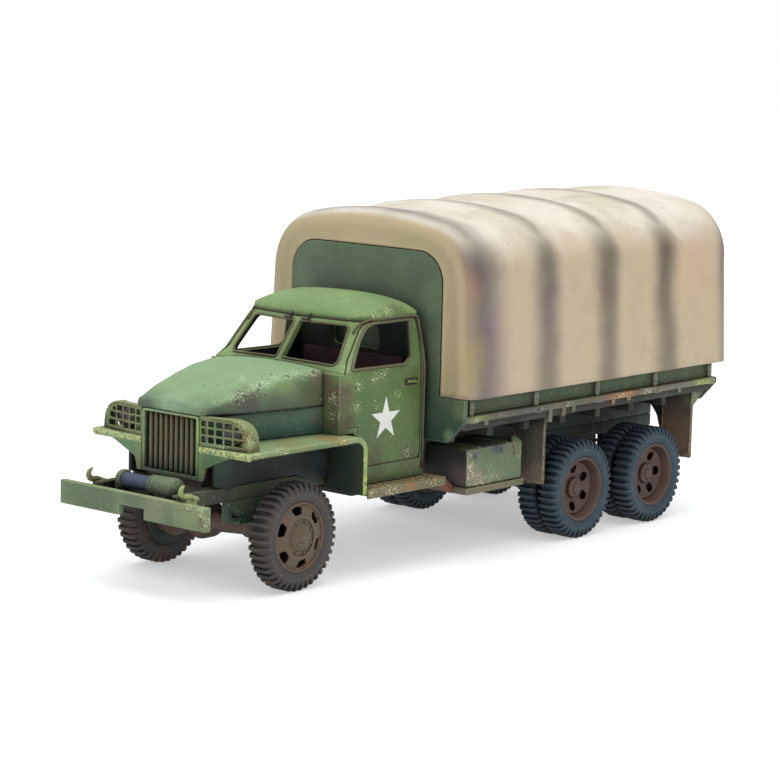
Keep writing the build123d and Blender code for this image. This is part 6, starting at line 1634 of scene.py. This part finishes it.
# the front ends lie in the shade of the cab, and their near-black is painted shade
end_paint = painted_plastic("painted_shade_end_paint", "#1E2A26", "#3A3A34", "#101816", "#4E4038", "#5E5E52",
    wash_share=0.5, rim_share=0.5, up_light=0.3, spots=(((3.9, 15.6, 13.2), 3.4, "#5A5046", 0.7),))
ends = [block((tank_high.x - 0.1, y, tank_low.z + 0.12), (tank_high.x + 0.05, y + 8.36, tank_top - 0.12),
    0.05) for y in (8.77, -17.13)]
add_piece("tank_and_box_front_ends", ends, end_paint)
tray_paint = painted_plastic("pale_edged_tray_paint", "#67634F", "#85806A", "#1A1F1B", "#74563F", "#C0BCA0",
    wash_share=0.5, rim_share=0.85, chips=0.15, up_light=0.1, spots=(((4.6, 12, 10.6), 3.6, "#7A5A48", 0.8),))
finish_piece(softened("box_trays", "tank_trays", tray_paint, 0.14), "chassis", "body_green", "box_trays")

# ---- bed end walls
# The front wall closes the canopy behind the cab, with slanted lower corners that catch the light.
# The tailgate is the same pressed board with two upright ribs.
# the walls darken towards their foot as painted shade, and the two pale spots on the front wall's slanted
# corner are a painted highlight
wall_paint = painted_plastic("shaded_green_wall_paint", "#4C5E4A", "#6A7C5C", "#16271F", "#5A4C3C", "#9CAA80",
    wash_share=0.3, rim_share=0.6, up_light=0.5, fade=("#25402F", 31, 21),
    spots=(((9.8, 20.6, 25), 2.6, "#5E6C50", 0.8), ((9.8, 18.2, 20.6), 1.6, "#6E8060", 0.8),
    ((9.8, 0, 47), 8, "#566A4E", 0.7)))
# a bead behind the edge of the canopy's opening closes the joint between the two mouldings
joint_line = rounded(((-15.94, 27.2, 0.3), (15.94, 27.2, 0.3), (15.94, 49.34, 5.0), (-15.94, 49.34, 5.0)), 6)
joint = bead([(8.42, u, v) for u, v in joint_line], 0.42, True)
add_piece("bed_bulkhead", [core_of("bed_front_wall", 0.2), joint], wall_paint, "bed_front_wall")
gate_low = box_mm("tailgate")[0]
gate_meshes = [core_of("tailgate", 0.18)]
for y in (-12.0, -4.0, 4.0, 12.0):
    gate_meshes.append(block((gate_low.x + 0.01, y - 0.5, 22.9), (gate_low.x + 0.4, y + 0.5, 27.9), 0.12))
for z in (22.5, 27.8):
    gate_meshes.append(block((gate_low.x + 0.01, -20.0, z), (gate_low.x + 0.35, 20.0, z + 0.35), 0.1))
add_piece("tailgate_board", gate_meshes, wall_paint, "tailgate")

# ---- bed sides
# Low side boards with upright posts stand on a khaki rubbing rail, whose edge is worn to pale
# plastic and rust. Small lashing cleats hang under the rail.
side_paint = painted_plastic("dark_green_side_board_paint", "#43563D", "#5C6A46", "#12221D", "#5A4434",
    "#8A9270", wash_share=0.35, rim_share=0.5, chips=0.04, up_light=0.3)
post_paint = painted_plastic("grey_green_post_paint", "#6A705F", "#8A8E78", "#1E2A22", "#6A5440", "#A6A888",
    wash_share=0.45, rim_share=0.7, chips=0.1, up_light=0.4)
rail_paint = painted_plastic("worn_khaki_rail_paint", "#5C5A4C", "#7C7864", "#1A1F1A", "#7A5A3C", "#C4BE96",
    wash_share=0.5, rim_share=0.85, chips=0.2, chip_colour="#D6D0A2", dark_chip="#5A3626", up_light=0.5,
    clusters=(((-33, 20.9, 23.3), 5), ((-40, 20.9, 23.3), 3.5), ((-56.5, 20.9, 23.3), 3.6),
    ((-59.5, 20.9, 23.3), 2.5), ((6, 20.9, 23), 1.8), ((-18, 20.9, 23.2), 1.8), ((-36, -20.9, 23.3), 5)),
    spots=(((-34, 20.9, 23.3), 4.6, "#9A5A34", 0.75), ((-30, 20.9, 23.2), 3, "#8A6248", 0.6),
    ((-57, 20.9, 23.3), 4, "#7E9A4E", 0.8), ((5.5, 20.9, 23), 3.6, "#6F8256", 0.8),
    ((-8, 20.9, 23.2), 7, "#47524A", 0.85), ((-20, 20.9, 23.2), 5, "#525A48", 0.7),
    ((-48, 20.9, 23.2), 7, "#6E6A62", 0.8)))
rail_foot, rail_head = 22.65, 23.75
board_start, board_end = -60.5, 8.65
post_places = (6.6, -10.1, -26.8, -43.5, -60.0)
for side_name, side in (("left", 1), ("right", -1)):
    boards = []
    for start, end in zip(post_places[1:], post_places[:-1]):
        boards.append(block((start + 0.55, side * 18.88, rail_foot + 0.6), (end - 0.55, side * 19.64, 28.15),
            0.1))
        border = rounded(((start + 0.75, rail_head + 0.2, 0.2), (end - 0.75, rail_head + 0.2, 0.2),
            (end - 0.75, 27.9, 0.2), (start + 0.75, 27.9, 0.2)), 2)
        boards.append(bead([(u, side * 19.66, v) for u, v in border], 0.12, True, 6))
    boards.append(block((post_places[0] + 0.5, side * 18.88, rail_foot + 0.6),
        (board_end, side * 19.64, 28.15), 0.1))
    add_piece(f"side_boards_{side_name}", boards, side_paint, f"bed_side_{side_name}")
    posts = [block((p - 0.55, side * 19.0, rail_foot + 0.5), (p + 0.55, side * 20.2, 28.2), 0.14)
        for p in post_places[:-1]]
    posts.append(block((board_start, side * 19.0, rail_foot + 0.5), (board_start + 1.05, side * 20.2, 28.2),
        0.14))
    posts += [bead([(p, side * 20.1, z), (p, side * 20.32, z)], 0.22) for p in post_places
        for z in (24.6, 26)]
    add_piece(f"side_posts_{side_name}", posts, post_paint)
    rail = [block((board_start, side * 18.9, rail_foot), (board_end, side * 20.74, rail_head), 0.22)]
    for p in post_places:
        rail.append(block((p - 0.9, side * 19.6, rail_foot - 0.1), (p + 0.9, side * 20.8, rail_head - 0.15),
            0.15))
    for place, drop in ((-13.6, 2), (-17.2, 1.3), (-19.9, 0.9), (3.2, 0.7), (-31, 0.8), (-35.5, 0.6),
            (-50.4, 0.7)):
        rail.append(block((place - 0.45, side * 19.3, rail_foot - drop),
            (place + 0.45, side * 20.5, rail_foot + 0.2), 0.12))
    add_piece(f"rubbing_rail_{side_name}", rail, rail_paint)

# ---- bed floor
# Planks on cross sills, painted near-black green as the shade under the bed, lighter brown where they face
# up.
floor_paint = painted_plastic("dark_plank_paint", "#15211E", "#4A4C3E", "#081110", "#5A4232", "#6E6E54",
    wash_share=0.5, rim_share=0.4, up_light=0.9)
floor_low, floor_high = box_mm("bed_floor")
planks = row_of(block((floor_low.x + 0.3, -18.55, floor_high.z - 0.1),
    (floor_high.x - 0.3, -16.1, floor_high.z + 0.16), 0.1), 14, (0, 2.67, 0))
add_piece("planked_bed_floor", [core_of("bed_floor", 0.14), planks], floor_paint, "bed_floor",
    slot="running_gear_brown")

# ---- mud flaps
# Moulded flaps hang before and behind the rear wheels, ribbed at the rim. The front pair is dusty
# green-brown, and the rear pair is brown with a green brace at its top.
flap_paint = painted_plastic("dusty_flap_paint", "#45463C", "#6A6654", "#1E2320", "#6A4E3E", "#A59C7E",
    wash_share=0.5, rim_share=0.9, chips=0.05, up_light=0.3, fade=("#5A4A40", 15.5, 11),
    spots=(((-56, 16, 14), 7, "#7E6552", 0.95), ((-13.5, 14, 19), 5, "#404A3C", 0.8),
    ((-13.5, 18.4, 12), 3, "#6E6656", 0.8), ((-57, 18.6, 20.6), 2.6, "#71855A", 0.9)))
flap_rims = []
for side in (1, -1):
    for place, foot in ((-13.7, 10.0), (-56.2, 9.5)):
        line = [(18.95, 21.3), (19, 14), (18.9, foot + 0.9), (18.4, foot + 0.3), (17.8, foot + 0.18),
            (14.2, foot + 0.18), (13.4, foot + 0.3), (13.05, foot + 0.9), (12.98, 21.3)]
        flap_rims.append(bead([(place - 0.02, side * u, v) for u, v in line], 0.16))
gusset_paint = painted_plastic("dark_green_gusset_paint", "#22342A", "#34483A", "#0E1816", "#4A3A30",
    "#5A6650", wash_share=0.4, rim_share=0.4, up_light=0.2)
gusset_line = rounded(((9, 21.35, 0.1), (9, 19.4, 0.6), (11.4, 16.4, 2.4), (12.9, 11.6, 1), (14, 11.6, 0.3),
    (14, 21.35, 0.1)), 4)
gussets = [plate([gusset_line], 0.5, 0.1, lambda u, v, w: (-56.9 + w, side * u, v)) for side in (1, -1)]
add_piece("rear_flap_gussets", gussets, gusset_paint, slot="running_gear_brown")
add_piece("moulded_mud_flaps", [core_of("mud_flaps", 0.25, 3)] + flap_rims, flap_paint, "mud_flaps",
    slot="running_gear_brown")

# ---- tail lamps
# Small round lamps on brackets under the bed's end, a dull red lens in a dark housing.
tail_paint = painted_plastic("dull_red_lens_paint", "#6A2622", "#8A3A30", "#241313", "#3A2A24", "#A05A4A",
    wash_share=0.3, rim_share=0.4, up_light=0.3, roughness=0.35)
finish_piece(softened("tail_lamps", "tail_lamp_housings", gear_paint, 0.1, 3), "chassis", "dark_metal_paint",
    "tail_lamps")
lens = revolved(((0.0, 0.0), (0.0, 0.62), (0.12, 0.66), (0.26, 0.5), (0.34, 0.25), (0.36, 0.0)), 24)
lenses = [faced(lens, 90, (-61.02, side * 14.65, 18.5)) for side in (1, -1)]
add_piece("tail_lamp_lenses", lenses, tail_paint, slot="lamp_paint")

# ---- cab inside
# A bench with a red-brown painted seat and back, a dashboard with two blank dials, and a thin-rimmed
# steering wheel on its column.
# the inside is painted very dark, its own paint deepened as painted shade inside the closed cab
inside_paint = painted_plastic("dark_green_inside_paint", "#1A2622", "#2A3830", "#0B1212", "#4E3C30",
    "#6A7458", wash_share=0.4, rim_share=0.4, up_light=0.6)
seat_paint = painted_plastic("dark_maroon_seat_paint", "#38222A", "#5A3642", "#120D10", "#2E1E1E", "#6E4A50",
    wash_share=0.4, rim_share=0.5, up_light=0.7)
seat_channels = [bead([(x, y, 23.42) for x in (13.6, 16, 18.6)], 0.16, sides=6)
    for y in (-7, -3.5, 0, 3.5, 7)]
add_piece("moulded_bench_seat", [core_of("seat_bench", 0.5, 4)] + seat_channels, seat_paint, "seat_bench",
    slot="seat_paint")
finish_piece(softened("cab_floor", "cab_floor_plate", inside_paint, 0.14), "chassis", "body_green",
    "cab_floor")
dial = ((0.0, 0.0), (0.0, 0.85), (0.1, 0.95), (0.24, 0.9), (0.24, 0.74), (0.1, 0.7), (0.1, 0.0))
dials = [faced(revolved(dial, 32), 90, (27.5, y, 28.7)) for y in (1.6, 3.9, 8.4)]
add_piece("dashboard_panel", [core_of("dashboard", 0.2, 3)] + dials, inside_paint, "dashboard")
wheel_centre = Vector((24.7, 6.2, 27.9))
# the wheel's plane leans back, its column runs down to the toe board
lean_cos, lean_sin = math.cos(math.radians(35)), math.sin(math.radians(35))
across, upward, outward = Vector((0, 1, 0)), Vector((lean_sin, 0, lean_cos)), Vector((-lean_cos, 0, lean_sin))
ring = [wheel_centre + across * 2.65 * math.cos(a) + upward * 2.65 * math.sin(a)
    for a in (2 * math.pi * i / 40 for i in range(40))]
wheel_meshes = [bead(ring, 0.22, True, 10)]
for angle in (90, 210, 330):
    a = math.radians(angle)
    tip = wheel_centre + across * 2.6 * math.cos(a) + upward * 2.6 * math.sin(a)
    wheel_meshes.append(bead([wheel_centre - outward * 0.3, tip], 0.14, sides=6))
wheel_meshes.append(bead([wheel_centre - outward * 0.5, wheel_centre + outward * 0.1], 0.5, sides=16))
wheel_meshes.append(bead([wheel_centre - outward * 0.4, wheel_centre - outward * 4.4], 0.3, sides=12))
add_piece("steering_wheel_and_column", wheel_meshes, gear_paint, "steering_wheel", slot="dark_metal_paint")
